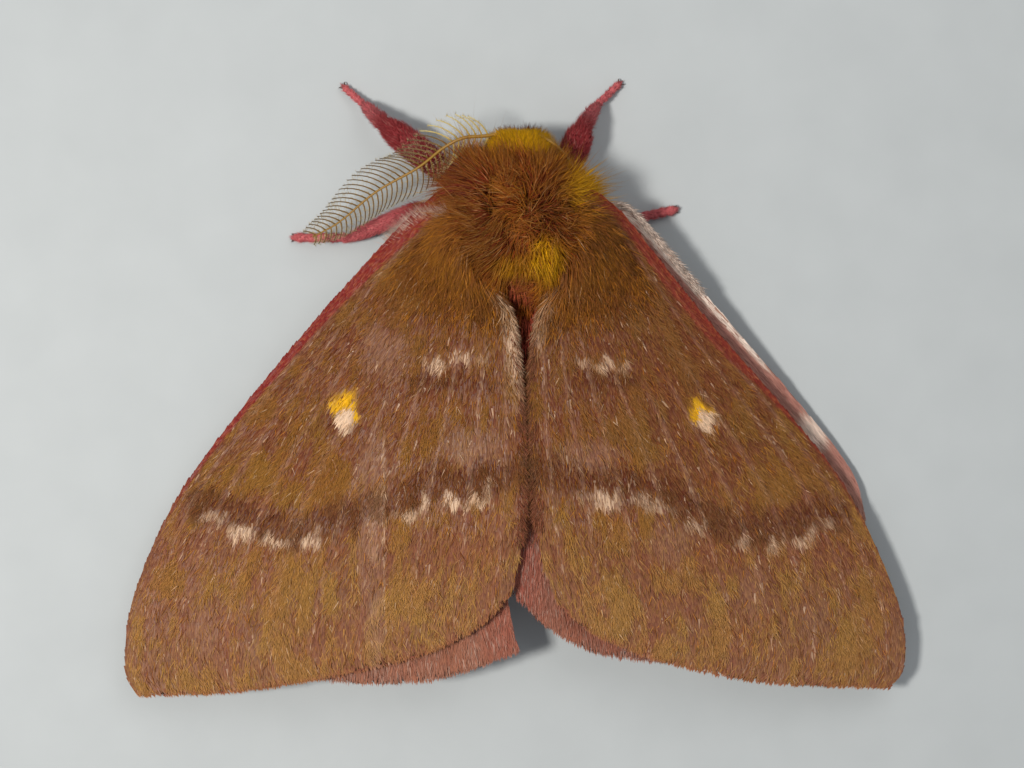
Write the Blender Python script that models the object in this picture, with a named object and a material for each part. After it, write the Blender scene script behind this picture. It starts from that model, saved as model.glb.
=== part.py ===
"""A resting male silk moth, life size: furry thorax, closed wings, feathery antennae, six legs on the floor.

The head points to +Y, +X is the moth's right and +Z is up. Sizes are in millimetres here and
become metres when a mesh is made.
"""

import math
import random

import bmesh
import bpy
from mathutils import Vector
from mathutils.bvhtree import BVHTree

MM = 0.001
GAP = 0.3
FLOOR = 0.0

# Body: three egg shapes, each with a centre, three half sizes and an exponent of its roundness.
THORAX_CENTRE = Vector((0.0, 9.2, 4.75))
THORAX_HALF = Vector((3.55, 4.4, 3.05))
THORAX_POWER = 2.4
THORAX_FRONT_Y = 12.9
THORAX_REAR_Y = 5.6
HEAD_CENTRE = Vector((0.0, 13.95, 4.4))
HEAD_HALF = Vector((1.65, 1.15, 1.7))
HEAD_SIDE_X = 1.3
EYE_RADIUS = 0.95
ABDOMEN_REAR_Y = -10.6
ABDOMEN_SEGMENTS = 7
ABDOMEN_HALF_WIDE = 2.85
ABDOMEN_HALF_THICK = 2.5
RINGS_PER_SEGMENT = 3
GROOVE = 0.955

# Wings: a sheet that lies on a roof over the abdomen, the forewings one layer above the hindwings.
WING_THICK = 0.5
RIDGE_Z = 6.45
RIDGE_DROP = 1.7
RIDGE_DROP_Y = -9.0
EAVE_Z = 1.1
EAVE_RISE = 2.9
EAVE_RISE_Y = -5.0
EAVE_SPAN = 16.0
ROOF_HALF_WIDTH = 26.0
ROOF_NARROWING = 18.9
ROOF_WIDEST_Y = -16.0
ROOF_LENGTH = 27.0
LAYER_STEP = 0.88
VEIN_RAISE = 0.16
VEIN_HALF_WIDTH = 0.011
ROWS_TO_BASE = 1.3

# Coat: flat tapered locks on the thorax and the crest of the head.
LOCK_WIDTH = 1.35
LOCK_THICK = 0.5
COAT_TIERS = 10
COAT_AROUND = 14
COAT_SPREAD = 118
COLLAR_LEAN = 59
COAT_STEP = 12.2
COAT_WHORL_Y = 10.8
COAT_LIFT = 0.42
FLANK_LENGTH = 0.55
COAT_SEED = 8

# Antennae and legs.
SHAFT_RADIUS = 0.27
RAMUS_ROOT_RADIUS = 0.25
RAMUS_TIP_RADIUS = 0.09
RAMUS_PAIRS = 12
CLAW_LENGTH = 0.4

COLOURS = {
    "coat": ((0.30, 0.13, 0.045), 0.85),
    "crest": ((0.72, 0.45, 0.03), 0.85),
    "forewing": ((0.36, 0.19, 0.08), 0.7),
    "hindwing": ((0.50, 0.20, 0.17), 0.7),
    "leg": ((0.48, 0.08, 0.10), 0.75),
    "antenna": ((0.45, 0.33, 0.10), 0.6),
    "eye": ((0.03, 0.015, 0.01), 0.15),
    "abdomen": ((0.42, 0.10, 0.09), 0.8),
}


def clear_scene():
    for thing in list(bpy.data.objects):
        bpy.data.objects.remove(thing)


def material(name):
    found = bpy.data.materials.get(name)
    if found:
        return found
    colour, roughness = COLOURS[name]
    made = bpy.data.materials.new(name)
    made.use_nodes = True
    shader = made.node_tree.nodes["Principled BSDF"]
    shader.inputs["Base Color"].default_value = (*colour, 1.0)
    shader.inputs["Roughness"].default_value = roughness
    shader.inputs["Metallic"].default_value = 0.0
    return made


def new_object(name, mesh, finish):
    thing = bpy.data.objects.new(name, mesh)
    bpy.context.scene.collection.objects.link(thing)
    mesh.materials.clear()
    mesh.materials.append(material(finish))
    return thing


def mesh_from(bm, name):
    bmesh.ops.recalc_face_normals(bm, faces=bm.faces)
    bmesh.ops.scale(bm, vec=(MM, MM, MM), verts=bm.verts)
    mesh = bpy.data.meshes.new(name)
    bm.to_mesh(mesh)
    bm.free()
    return mesh


# Shapes from rings and egg shapes.


def egg_radius(direction, half, power):
    """Distance from the centre to the egg's surface along a unit direction."""
    total = sum(abs(d / h) ** power for d, h in zip(direction, half))
    return total ** (-1.0 / power)


def egg_point(centre, half, power, direction):
    """The surface point along a direction, and the outward normal there."""
    unit = Vector(direction).normalized()
    offset = unit * egg_radius(unit, half, power)
    slope = [abs(o / h) ** (power - 1) * math.copysign(1, o) / h for o, h in zip(offset, half)]
    return centre + offset, Vector(slope).normalized()


def egg(centre, half, power, across, along):
    """A closed egg with its poles at the front and the rear."""
    bm = bmesh.new()
    bmesh.ops.create_uvsphere(bm, u_segments=across, v_segments=along, radius=1.0)
    for vertex in bm.verts:
        x, y, z = vertex.co
        unit = Vector((x, z, -y)).normalized()
        vertex.co = centre + unit * egg_radius(unit, half, power)
    return bm


def cut_flat(bm, point, normal):
    """Removes what lies on the normal's side of a plane and closes the cut with one flat face."""
    geometry = bm.verts[:] + bm.edges[:] + bm.faces[:]
    bmesh.ops.bisect_plane(bm, geom=geometry, plane_co=point, plane_no=normal, clear_outer=True)
    rim = [e for e in bm.edges if e.is_boundary]
    bmesh.ops.holes_fill(bm, edges=rim)
    return bm


def ring(centre, along, face, half_wide, half_thick, sides):
    """Points of an oval ring across a direction. face is the way its thin side looks."""
    wide = along.cross(face).normalized()
    thin = wide.cross(along).normalized()
    turn = [2 * math.pi * (i + 0.5) / sides for i in range(sides)]
    return [centre + wide * half_wide * math.cos(a) + thin * half_thick * math.sin(a) for a in turn]


def loft(rings):
    """A closed skin through rings of equal count. A ring of one point closes to a tip."""
    bm = bmesh.new()
    loops = [[bm.verts.new(p) for p in points] for points in rings]
    for lower, upper in zip(loops, loops[1:]):
        count = len(lower)
        for i in range(count):
            j = (i + 1) % count
            if len(upper) == 1:
                bm.faces.new((lower[i], lower[j], upper[0]))
            else:
                bm.faces.new((lower[i], lower[j], upper[j], upper[i]))
    bm.faces.new(list(reversed(loops[0])))
    if len(loops[-1]) > 2:
        bm.faces.new(loops[-1])
    return bm


def directions(path):
    """The way a path runs at each of its points, halving each bend."""
    steps = [(b - a).normalized() for a, b in zip(path, path[1:])]
    inner = [(a + b).normalized() for a, b in zip(steps, steps[1:])]
    return [steps[0], *inner, steps[-1]]


def smooth_path(points, steps):
    """A Catmull-Rom curve through the points, with some steps between each two."""
    points = [Vector(p) for p in points]
    padded = [points[0] * 2 - points[1], *points, points[-1] * 2 - points[-2]]
    curve = []
    for a, b, c, d in zip(padded, padded[1:], padded[2:], padded[3:]):
        for i in range(steps):
            t = i / steps
            curve.append(
                0.5
                * (
                    2 * b
                    + (c - a) * t
                    + (2 * a - 5 * b + 4 * c - d) * t * t
                    + (3 * b - a - 3 * c + d) * t**3
                )
            )
    return curve + [points[-1]]


def along_path(curve, share):
    """The point at a share of a path's length, and the way it runs there."""
    lengths = [(b - a).length for a, b in zip(curve, curve[1:])]
    left = share * sum(lengths)
    for start, end, length in zip(curve, curve[1:], lengths):
        if left <= length or end is curve[-1]:
            return start.lerp(end, min(1.0, left / length)), (end - start).normalized()
        left -= length


# Solid work on whole objects.


def join_pieces(base, pieces):
    """One Boolean on a collection joins the pieces to the base object.

    The exact solver leaves edges with four faces where locks brush each other, so it isn't used.
    """
    group = bpy.data.collections.new("pieces")
    bpy.context.scene.collection.children.link(group)
    for index, bm in enumerate(pieces):
        mesh = mesh_from(bm, f"piece_{index}")
        group.objects.link(bpy.data.objects.new(f"piece_{index}", mesh))
    modifier = base.modifiers.new("join", "BOOLEAN")
    modifier.operation = "UNION"
    modifier.operand_type = "COLLECTION"
    modifier.collection = group
    modifier.solver = "MANIFOLD"
    graph = bpy.context.evaluated_depsgraph_get()
    joined = bpy.data.meshes.new_from_object(base.evaluated_get(graph))
    base.modifiers.clear()
    base.data = joined
    for thing in list(group.objects):
        bpy.data.objects.remove(thing)
    bpy.data.collections.remove(group)
    keep_largest(base)


def keep_largest(thing):
    """Keeps the largest closed surface of an object and drops the rest."""
    bm = bmesh.new()
    bm.from_mesh(thing.data)
    left, islands = set(bm.faces), []
    while left:
        island, edge = set(), [left.pop()]
        while edge:
            face = edge.pop()
            island.add(face)
            near = {f for e in face.edges for f in e.link_faces} & left
            left -= near
            edge.extend(near)
        islands.append(island)
    islands.sort(key=lambda faces: -sum(f.calc_area() for f in faces))
    scraps = [f for island in islands[1:] for f in island]
    bmesh.ops.delete(bm, geom=scraps, context="FACES")
    bmesh.ops.triangulate(bm, faces=bm.faces)
    bm.to_mesh(thing.data)
    bm.free()


def smooth_shade(thing, angle=40):
    thing.data.shade_smooth()
    thing.data.set_sharp_from_angle(angle=math.radians(angle))


# Wings.


def roof_half_width(y):
    """Half the width of the closed wings at a place along the body."""
    share = max(0.0, (y - ROOF_WIDEST_Y) / ROOF_LENGTH)
    return ROOF_HALF_WIDTH - ROOF_NARROWING * share**1.25


def roof_height(x, y):
    """Height of the hindwings' middle over the floor: a flat ridge that slopes down to the eaves."""
    ridge = RIDGE_Z - RIDGE_DROP * max(0.0, (RIDGE_DROP_Y - y) / 9.0)
    eave = EAVE_Z + EAVE_RISE * max(0.0, (y - EAVE_RISE_Y) / EAVE_SPAN) ** 1.5
    share = min(1.12, abs(x) / roof_half_width(y))
    return eave + (ridge - eave) * (1 - share**1.7)


def roof_point(x, y, lift):
    """A point at a height lift above the roof, square to its slope."""
    step = 0.05
    slope_x = (roof_height(x + step, y) - roof_height(x - step, y)) / (2 * step)
    slope_y = (roof_height(x, y + step) - roof_height(x, y - step)) / (2 * step)
    normal = Vector((-slope_x, -slope_y, 1.0)).normalized()
    return Vector((x, y, roof_height(x, y))) + normal * lift


# Outlines seen from above. Each runs from the wing's base: costa to the apex, outer edge from the
# apex to the inner corner, and inner edge from the base to that corner.
FOREWINGS = {
    "left": {
        "side": -1,
        "base": (11.9, 7.6),
        "costa": [(-4.2, 12.1), (-5.5, 11.3), (-9.4, 7.5), (-15.8, 0.3), (-21.1, -6.6), (-24.0, -13.0),
                  (-24.6, -17.6), (-23.8, -19.4)],
        "outer": [(-23.8, -19.4), (-16.8, -18.9), (-7.7, -17.0), (-2.9, -15.0), (-0.5, -12.7)],
        "inner": [(-2.2, 6.0), (-0.7, 4.6), (-0.1, 1.0), (0.3, -5.0), (0.1, -9.2), (-0.5, -12.7)],
    },
    "right": {
        "side": 1,
        "base": (11.8, 7.6),
        "costa": [(4.3, 11.8), (5.7, 10.9), (6.8, 9.75), (8.2, 8.0), (10.6, 5.05), (13.15, 2.1),
                  (16.3, -1.4), (20.3, -6.5), (23.4, -13.2), (23.95, -17.2), (23.0, -18.9)],
        "outer": [(23.0, -18.9), (14.6, -18.3), (8.0, -16.7), (4.4, -15.1), (2.2, -13.2)],
        "inner": [(2.6, 6.0), (1.3, 4.6), (0.7, 1.0), (0.75, -5.0), (1.2, -9.8), (2.2, -13.2)],
    },
}
HINDWINGS = {
    "left": {
        "side": -1,
        "base": (9.6, 6.5),
        "costa": [(-5.6, 9.3), (-9.0, 6.2), (-15.6, -1.1), (-20.1, -7.2), (-21.7, -11.0)],
        "outer": [(-21.7, -11.0), (-19.8, -15.8), (-13.5, -18.1), (-6.0, -18.3), (-0.1, -16.4)],
        "inner": [(-3.0, 4.6), (-1.6, 2.0), (-0.9, -4.0), (-0.8, -10.5), (-0.7, -13.6),
                  (-0.1, -16.4)],
    },
    "right": {
        "side": 1,
        "base": (9.8, 6.5),
        "costa": [(5.2, 11.0), (7.0, 10.6), (11.3, 5.8), (17.6, -1.3), (20.8, -5.4), (21.7, -8.4)],
        "outer": [(21.7, -8.4), (19.6, -14.2), (13.5, -17.0), (6.0, -16.8), (2.3, -15.3),
                  (-0.3, -13.0)],
        "inner": [(3.2, 4.6), (1.6, 2.0), (0.2, -2.0), (-0.25, -8.2), (-0.3, -13.0)],
    },
}

# Veins of each wing: where each meets the outer edge, from the costa (0) to the inner edge (1), and
# the share of the wing's length where it leaves the cell.
FOREWING_VEINS = [(0.05, 0.0), (0.13, 0.0), (0.25, 0.38), (0.36, 0.42), (0.47, 0.42), (0.58, 0.36),
                  (0.70, 0.0), (0.82, 0.22), (0.93, 0.0)]
HINDWING_VEINS = [(0.06, 0.0), (0.22, 0.0), (0.40, 0.35), (0.55, 0.38), (0.70, 0.0), (0.88, 0.0)]


def thorax_edge_x(y, z, side):
    """How far out a wing starts at a place beside the thorax, a gap clear of its surface."""
    left = 1.0
    left -= abs((y - THORAX_CENTRE.y) / THORAX_HALF.y) ** THORAX_POWER
    left -= abs((z - THORAX_CENTRE.z) / THORAX_HALF.z) ** THORAX_POWER
    return side * (THORAX_HALF.x * max(0.0, left) ** (1 / THORAX_POWER) + GAP + 0.1)


def plan_maker(wing, lift):
    """A function that gives a wing's place seen from above, from u across and v along it."""
    front, rear = wing["base"]

    def base(u):
        y = front + (rear - front) * u
        z = roof_height(wing["side"] * THORAX_HALF.x, y) + lift
        return Vector((thorax_edge_x(y, z, wing["side"]), y, 0.0))

    def flat(points):
        return smooth_path([(x, y, 0.0) for x, y in points], 6)

    costa = [base(0.0), *flat(wing["costa"])]
    inner = [base(1.0), *flat(wing["inner"])]
    outer = flat(wing["outer"])
    corners = (costa[0], inner[0], costa[-1], inner[-1])

    def plan(u, v):
        sides = along_path(costa, v)[0] * (1 - u) + along_path(inner, v)[0] * u
        ends = base(u) * (1 - v) + along_path(outer, u)[0] * v
        flat_part = (corners[0] * (1 - u) + corners[1] * u) * (1 - v)
        flat_part += (corners[2] * (1 - u) + corners[3] * u) * v
        return sides + ends - flat_part

    return plan


def vein_columns(veins):
    """Places across a wing for its columns of points, with how much each is raised and from where."""
    columns = [(0.0, 0.0, 0.0)]
    for (place, start), (following, _) in zip(veins, veins[1:] + [(1.0, 0.0)]):
        columns.append((place - VEIN_HALF_WIDTH, 0.0, start))
        columns.append((place, VEIN_RAISE, start))
        columns.append((place + VEIN_HALF_WIDTH, 0.0, start))
        if following - place > 0.13:
            columns.append(((place + following) / 2, 0.0, start))
    return columns + [(1.0, 0.0, 0.0)]


def wing_mesh(wing, veins, rows, lift):
    """A closed sheet with the veins raised on its upper face and both faces split alike."""
    plan = plan_maker(wing, lift)
    columns = vein_columns(veins)
    bm = bmesh.new()
    upper, lower = [], []
    for row in range(rows + 1):
        v = (row / rows) ** ROWS_TO_BASE
        line_up, line_down = [], []
        for u, raised, start in columns:
            place = plan(u, v)
            high = lift + WING_THICK / 2
            if v > start:
                high += raised
            line_up.append(bm.verts.new(roof_point(place.x, place.y, high)))
            low = lift - WING_THICK / 2
            line_down.append(bm.verts.new(roof_point(place.x, place.y, low)))
        upper.append(line_up)
        lower.append(line_down)
    last_row, last_column = rows, len(columns) - 1
    for r in range(last_row):
        for c in range(last_column):
            for sheet in (upper, lower):
                a, b, d, e = sheet[r][c], sheet[r][c + 1], sheet[r + 1][c + 1], sheet[r + 1][c]
                bm.faces.new((a, b, d))
                bm.faces.new((a, d, e))
    for c in range(last_column):
        for r in (0, last_row):
            bm.faces.new((upper[r][c], upper[r][c + 1], lower[r][c + 1], lower[r][c]))
    for r in range(last_row):
        for c in (0, last_column):
            bm.faces.new((upper[r][c], upper[r + 1][c], lower[r + 1][c], lower[r][c]))
    return bm


def build_wings():
    for side in ("left", "right"):
        sheets = (
            (f"hindwing_{side}", HINDWINGS[side], HINDWING_VEINS, 9, 0.0, "hindwing"),
            (f"forewing_{side}", FOREWINGS[side], FOREWING_VEINS, 10, LAYER_STEP, "forewing"),
        )
        for name, outline, veins, rows, lift, finish in sheets:
            mesh = mesh_from(wing_mesh(outline, veins, rows, lift), name)
            smooth_shade(new_object(name, mesh, finish))


# Coat of the thorax and head.


def lock(root, normal, lie, length, rise, width):
    """One flat tapered lock that leaves the skin at a slope and bends over to its lie."""
    lie = lie.normalized()
    leave = (lie * (1 - rise) + normal * rise).normalized()
    path = [root - normal * 0.55 - lie * 0.45, root + leave * 0.28 * length]
    path.append(path[1] + (leave + lie).normalized() * 0.36 * length)
    path.append(path[2] + lie * 0.36 * length)
    shares = ((0.8, 1.0), (1.0, 1.0), (0.78, 0.85))
    rings = [
        ring(point, way, normal, width / 2 * wide, LOCK_THICK / 2 * thick, 4)
        for point, way, (wide, thick) in zip(path, directions(path), shares)
    ]
    return loft(rings + [[path[-1]]])


def neighbour_trees():
    """A search tree of every object built so far."""
    trees = []
    for thing in bpy.data.objects:
        points = [v.co / MM for v in thing.data.vertices]
        trees.append(BVHTree.FromPolygons(points, [tuple(f.vertices) for f in thing.data.polygons]))
    return trees


def is_clear(bm, trees):
    """Whether a piece keeps the gap to all its neighbours."""
    own = BVHTree.FromBMesh(bm)
    if any(own.overlap(tree) for tree in trees):
        return False
    samples = [v.co for v in bm.verts] + [f.calc_center_median() for f in bm.faces]
    return all(tree.find_nearest(p, GAP)[0] is None for tree in trees for p in samples)


def fitted_lock(root, normal, lie, length, width, trees):
    """The longest and lowest lock at a place that clears the neighbours, or none."""
    for shorter in (1.0, 0.85, 0.7):
        for rise in (0.3, 0.42, 0.55, 0.7):
            lifted = lie.normalized() + Vector((0.0, 0.0, 0.9 * (rise - 0.3)))
            piece = lock(root, normal, lifted, length * shorter, rise, width)
            if is_clear(piece, trees):
                return [piece]
            piece.free()
    return []


def around_body(spread, lean):
    """A direction from an egg's centre: spread from the top to a flank, lean towards the head."""
    around, tilt = math.radians(spread), math.radians(lean)
    return Vector((math.sin(around) * math.cos(tilt), math.sin(tilt),
                   math.cos(around) * math.cos(tilt)))


def thorax_locks(trees):
    """Locks in tiers from the collar to the rear that fan out from a point behind the collar."""
    draw = random.Random(COAT_SEED)
    locks = []
    for tier in range(COAT_TIERS):
        lean = COLLAR_LEAN - COAT_STEP * tier
        count = COAT_AROUND + tier % 2
        for index in range(count):
            spread = COAT_SPREAD * (2 * index / (count - 1) - 1)
            way = around_body(spread + draw.uniform(-3, 3), lean + draw.uniform(-2, 2))
            root, normal = egg_point(THORAX_CENTRE, THORAX_HALF, THORAX_POWER, way)
            if not THORAX_REAR_Y < root.y < THORAX_FRONT_Y:
                continue
            above = root.z - THORAX_CENTRE.z
            level = -0.6 if above < 0 else (0.1 if above < 1.2 else COAT_LIFT)
            lie = Vector((root.x / 3.5, (root.y - COAT_WHORL_Y) / 2.6 - 0.2, level))
            length = 2.1 - 0.3 * max(0, tier - 7) + draw.uniform(-0.25, 0.25)
            length += FLANK_LENGTH * abs(root.x) / THORAX_HALF.x if above > 0 else 0
            locks += fitted_lock(root, normal, lie, length, LOCK_WIDTH, trees)
    return locks


def head_locks(trees):
    """The crest over the brow, which fans out forward, and short hair on the face."""
    draw = random.Random(COAT_SEED + 1)
    locks = []
    for lean, widest, count in ((2, 42, 6), (24, 50, 7), (46, 48, 5)):
        for index in range(count):
            spread = widest * (2 * index / (count - 1) - 1) + draw.uniform(-3, 3)
            root, normal = egg_point(HEAD_CENTRE, HEAD_HALF, 2.0, around_body(spread, lean))
            lie = Vector((0.9 * root.x, 0.45, 0.3))
            length = 1.25 + 0.25 * abs(root.x) + draw.uniform(-0.1, 0.1)
            locks += fitted_lock(root, normal, lie, length, 0.85, trees)
    for spread, lean in ((-75, 66), (75, 66), (-150, 66), (150, 66), (-20, 80), (180, 84)):
        root, normal = egg_point(HEAD_CENTRE, HEAD_HALF, 2.0, around_body(spread, lean))
        locks += fitted_lock(root, normal, Vector((root.x, 0.6, -0.6)), 0.95, 0.8, trees)
    return locks


# Antennae.

ANTENNAE = {
    "left": {
        "root": (-0.6, 0.55, 0.55),
        "path": [(-2.3, 15.1, 5.7), (-3.5, 14.98, 5.75), (-4.7, 14.4, 5.5), (-6.3, 13.25, 4.7),
                 (-8.9, 11.85, 3.9), (-11.2, 10.05, 3.2), (-12.9, 9.15, 2.7)],
        "upper": Vector((-0.45, 0.8, 0.38)),
        "leave": 68,
        "arrive": 38,
        "longest": 2.5,
        "first": 0.19,
    },
    "right": {
        "root": (0.6, 0.5, 0.6),
        "path": [(2.15, 14.55, 5.6), (3.0, 13.6, 4.95), (3.6, 12.4, 4.35), (4.3, 10.9, 3.75),
                 (5.1, 8.9, 3.45), (6.0, 6.8, 3.3), (7.0, 4.6, 3.1), (8.0, 2.6, 2.8)],
        "upper": Vector((1.0, 0.25, 0.1)),
        "leave": 34,
        "arrive": 20,
        "longest": 2.0,
        "first": 0.36,
    },
}


def antenna_curve(antenna):
    """The shaft's line from the head, a gap clear of it."""
    root, normal = egg_point(HEAD_CENTRE, HEAD_HALF, 2.0, antenna["root"])
    start = root + normal * GAP
    points = [start, start + normal * 0.3, *antenna["path"]]
    return smooth_path(points, 2)


def ramus(curve, share, side, antenna):
    """One side branch, which leaves the shaft and bends towards its tip."""
    place, along = along_path(curve, share)
    out = antenna["upper"] * side
    out = (out - along * out.dot(along)).normalized()
    length = antenna["longest"] * math.sin(math.pi * (0.14 + 0.8 * share)) ** 0.7
    if side < 0:
        length *= 0.85
    leave, arrive = math.radians(antenna["leave"]), math.radians(antenna["arrive"])
    first = along * math.cos(leave) + out * math.sin(leave)
    last = along * math.cos(arrive) + out * math.sin(arrive)
    path = [place, place + first * 0.5 * length]
    path.append(path[1] + last * 0.5 * length)
    face = along.cross(out).normalized()
    radii = (RAMUS_ROOT_RADIUS, RAMUS_ROOT_RADIUS * 0.85, RAMUS_TIP_RADIUS)
    rings = [ring(p, w, face, r, r, 4) for p, w, r in zip(path, directions(path), radii)]
    return loft(rings)


def antenna_pieces(antenna):
    curve = antenna_curve(antenna)
    count = len(curve)
    radii = [SHAFT_RADIUS * (1.25 - 0.5 * i / count) for i in range(count)]
    face = Vector((0.1, 0.2, 1.0))
    rings = [ring(p, w, face, r, r, 6) for p, w, r in zip(curve, directions(curve), radii)]
    branches = []
    for index in range(RAMUS_PAIRS):
        share = antenna["first"] + (0.97 - antenna["first"]) * index / (RAMUS_PAIRS - 1)
        for side in (1, -1):
            branches.append(ramus(curve, share, side, antenna))
    return [loft(rings), *branches]


def build_antennae():
    for side, antenna in ANTENNAE.items():
        shaft, *branches = antenna_pieces(antenna)
        thing = new_object(f"antenna_{side}", mesh_from(shaft, f"antenna_{side}"), "antenna")
        join_pieces(thing, branches)
        smooth_shade(thing)


# Legs.

# Each leg: the way its root looks from the thorax's centre, then knee, ankle and toe.
LEGS = {
    "foreleg_left": ((-0.62, 0.62, -0.52), (-8.45, 16.15, 3.0), (-9.85, 17.6, 1.1), (-11.1, 18.75, 0.36)),
    "foreleg_right": ((0.5, 0.66, -0.55), (3.9, 15.95, 3.0), (4.85, 17.55, 1.1), (6.25, 18.95, 0.36)),
    "midleg_left": ((-0.8, 0.05, -0.55), (-6.5, 10.9, 2.3), (-10.7, 9.2, 0.9), (-14.2, 9.25, 0.36)),
    "midleg_right": ((0.75, 0.1, -0.65), (5.0, 10.0, 1.95), (7.1, 10.4, 0.85), (9.75, 11.0, 0.36)),
    "hindleg_left": ((-0.6, -0.6, -0.62), (-5.6, 3.3, 2.9), (-7.9, -3.5, 0.9), (-8.5, -7.6, 0.36)),
    "hindleg_right": ((0.6, -0.6, -0.62), (5.6, 3.3, 2.9), (7.9, -3.5, 0.9), (8.5, -7.6, 0.36)),
}
LEG_WIDTHS = {
    "foreleg": (0.58, 0.84, 0.54, 0.42, 0.31),
    "midleg": (0.5, 0.68, 0.5, 0.48, 0.36),
    "hindleg": (0.5, 0.62, 0.45, 0.45, 0.36),
}


def leg_part(points, radii, cuts):
    """A limb length through points. A cut gives the plane that an end is squared off to."""
    points = [Vector(p) for p in points]
    along = directions(points)
    if cuts[0]:
        along[0] = cuts[0]
    if cuts[1]:
        along[-1] = cuts[1]
    face = Vector((0.0, 0.0, 1.0))
    return loft([ring(p, w, face, r, r, 8) for p, w, r in zip(points, along, radii)])


def flatten_sole(bm):
    """Lets nothing reach below the floor, which gives a foot its flat."""
    for vertex in bm.verts:
        vertex.co.z = max(FLOOR, vertex.co.z)


def claws(toe, along):
    """Two hooked claws at the end of a foot."""
    side = along.cross(Vector((0.0, 0.0, 1.0))).normalized()
    hooks = []
    for turn in (-1, 1):
        out = (along * 0.8 + side * 0.6 * turn).normalized()
        start = toe - along * 0.25
        path = [start, start + out * CLAW_LENGTH * 0.75, start + out * CLAW_LENGTH * 1.3]
        path[2].z = max(0.08, path[2].z - 0.16)
        ways = directions(path)
        face = Vector((0.0, 0.0, 1.0))
        rings = [ring(path[0], ways[0], face, 0.2, 0.2, 5), ring(path[1], ways[1], face, 0.13, 0.13, 5)]
        hooks.append(loft(rings + [[path[2]]]))
    return hooks


def build_legs():
    for name, (look, knee, ankle, toe) in LEGS.items():
        kind = name.split("_")[0]
        root_r, thigh_r, knee_r, shin_r, foot_r = LEG_WIDTHS[kind]
        root, normal = egg_point(THORAX_CENTRE, THORAX_HALF, THORAX_POWER, look)
        start = root + normal * (GAP + 0.05)
        hip = start + normal * 0.7
        knee, ankle, toe = Vector(knee), Vector(ankle), Vector(toe)
        thigh_way = (knee - hip).normalized()
        shin_way = (ankle - knee).normalized()
        foot_way = (toe - ankle).normalized()
        knee_way = (thigh_way + shin_way).normalized()
        ankle_way = (shin_way + foot_way).normalized()
        half = GAP / 2
        line = smooth_path([start, hip, hip.lerp(knee, 0.5), knee - knee_way * half], 2)
        swell = [root_r, root_r * 1.15, root_r * 1.3, thigh_r * 0.92, thigh_r, thigh_r * 0.9, knee_r]
        thigh = leg_part(line, swell, (normal, knee_way))
        shin = leg_part(
            [knee + knee_way * half, knee.lerp(ankle, 0.4), knee.lerp(ankle, 0.75),
             ankle - ankle_way * half],
            [knee_r * 0.95, shin_r * 1.15, shin_r, foot_r * 1.05],
            (knee_way, ankle_way),
        )
        foot_points = [ankle + ankle_way * half]
        foot_radii = [foot_r]
        for joint in range(1, 5):
            foot_points.append(ankle.lerp(toe, joint / 5))
            foot_radii.append(foot_r * (1.12 if joint % 2 else 0.94))
        foot_points.append(toe)
        foot_radii.append(foot_r * 1.15)
        foot = leg_part(foot_points, foot_radii, (ankle_way, None))
        for bm in (thigh, shin, foot):
            flatten_sole(bm)
        hooks = claws(toe, Vector((foot_way.x, foot_way.y, 0.0)).normalized())
        smooth_shade(new_object(f"{name}_femur", mesh_from(thigh, name), "leg"))
        smooth_shade(new_object(f"{name}_tibia", mesh_from(shin, name), "leg"))
        tarsus = new_object(f"{name}_tarsus", mesh_from(foot, name), "leg")
        join_pieces(tarsus, hooks)
        smooth_shade(tarsus)


# Body.


def build_thorax():
    core = egg(THORAX_CENTRE, THORAX_HALF, THORAX_POWER, 24, 14)
    cut_flat(core, Vector((0, THORAX_FRONT_Y, 0)), Vector((0, 1, 0)))
    cut_flat(core, Vector((0, THORAX_REAR_Y, 0)), Vector((0, -1, 0)))
    locks = thorax_locks(neighbour_trees())
    thing = new_object("thorax", mesh_from(core, "thorax"), "coat")
    join_pieces(thing, locks)
    smooth_shade(thing)


def palp(side):
    """One short feeler under the face."""
    start = HEAD_CENTRE + Vector((0.4 * side, 0.55, -1.1))
    path = [start, start + Vector((0.1 * side, 0.55, -0.1)), start + Vector((0.12 * side, 0.95, 0.15))]
    radii = (0.32, 0.3, 0.18)
    face = Vector((1.0, 0.0, 0.0))
    return loft([ring(p, w, face, r, r, 6) for p, w, r in zip(path, directions(path), radii)])


def build_head():
    core = egg(HEAD_CENTRE, HEAD_HALF, 2.0, 16, 10)
    cut_flat(core, Vector((0, THORAX_FRONT_Y + GAP, 0)), Vector((0, -1, 0)))
    for side in (-1, 1):
        cut_flat(core, Vector((side * HEAD_SIDE_X, 0, 0)), Vector((side, 0, 0)))
    locks = head_locks(neighbour_trees())
    thing = new_object("head", mesh_from(core, "head"), "crest")
    join_pieces(thing, [*locks, palp(-1), palp(1)])
    smooth_shade(thing)


def eye_ball(side):
    """A ball flattened towards the head, set low on its side."""
    bm = bmesh.new()
    bmesh.ops.create_uvsphere(bm, u_segments=14, v_segments=9, radius=EYE_RADIUS)
    middle = HEAD_CENTRE + Vector((side * (HEAD_SIDE_X + 0.2), 0.1, -0.15))
    bmesh.ops.translate(bm, vec=middle, verts=bm.verts)
    return cut_flat(bm, Vector((side * (HEAD_SIDE_X + GAP), 0, 0)), Vector((-side, 0, 0)))


def build_eyes():
    for side, name in ((-1, "eye_left"), (1, "eye_right")):
        smooth_shade(new_object(name, mesh_from(eye_ball(side), name), "eye"))


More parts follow.
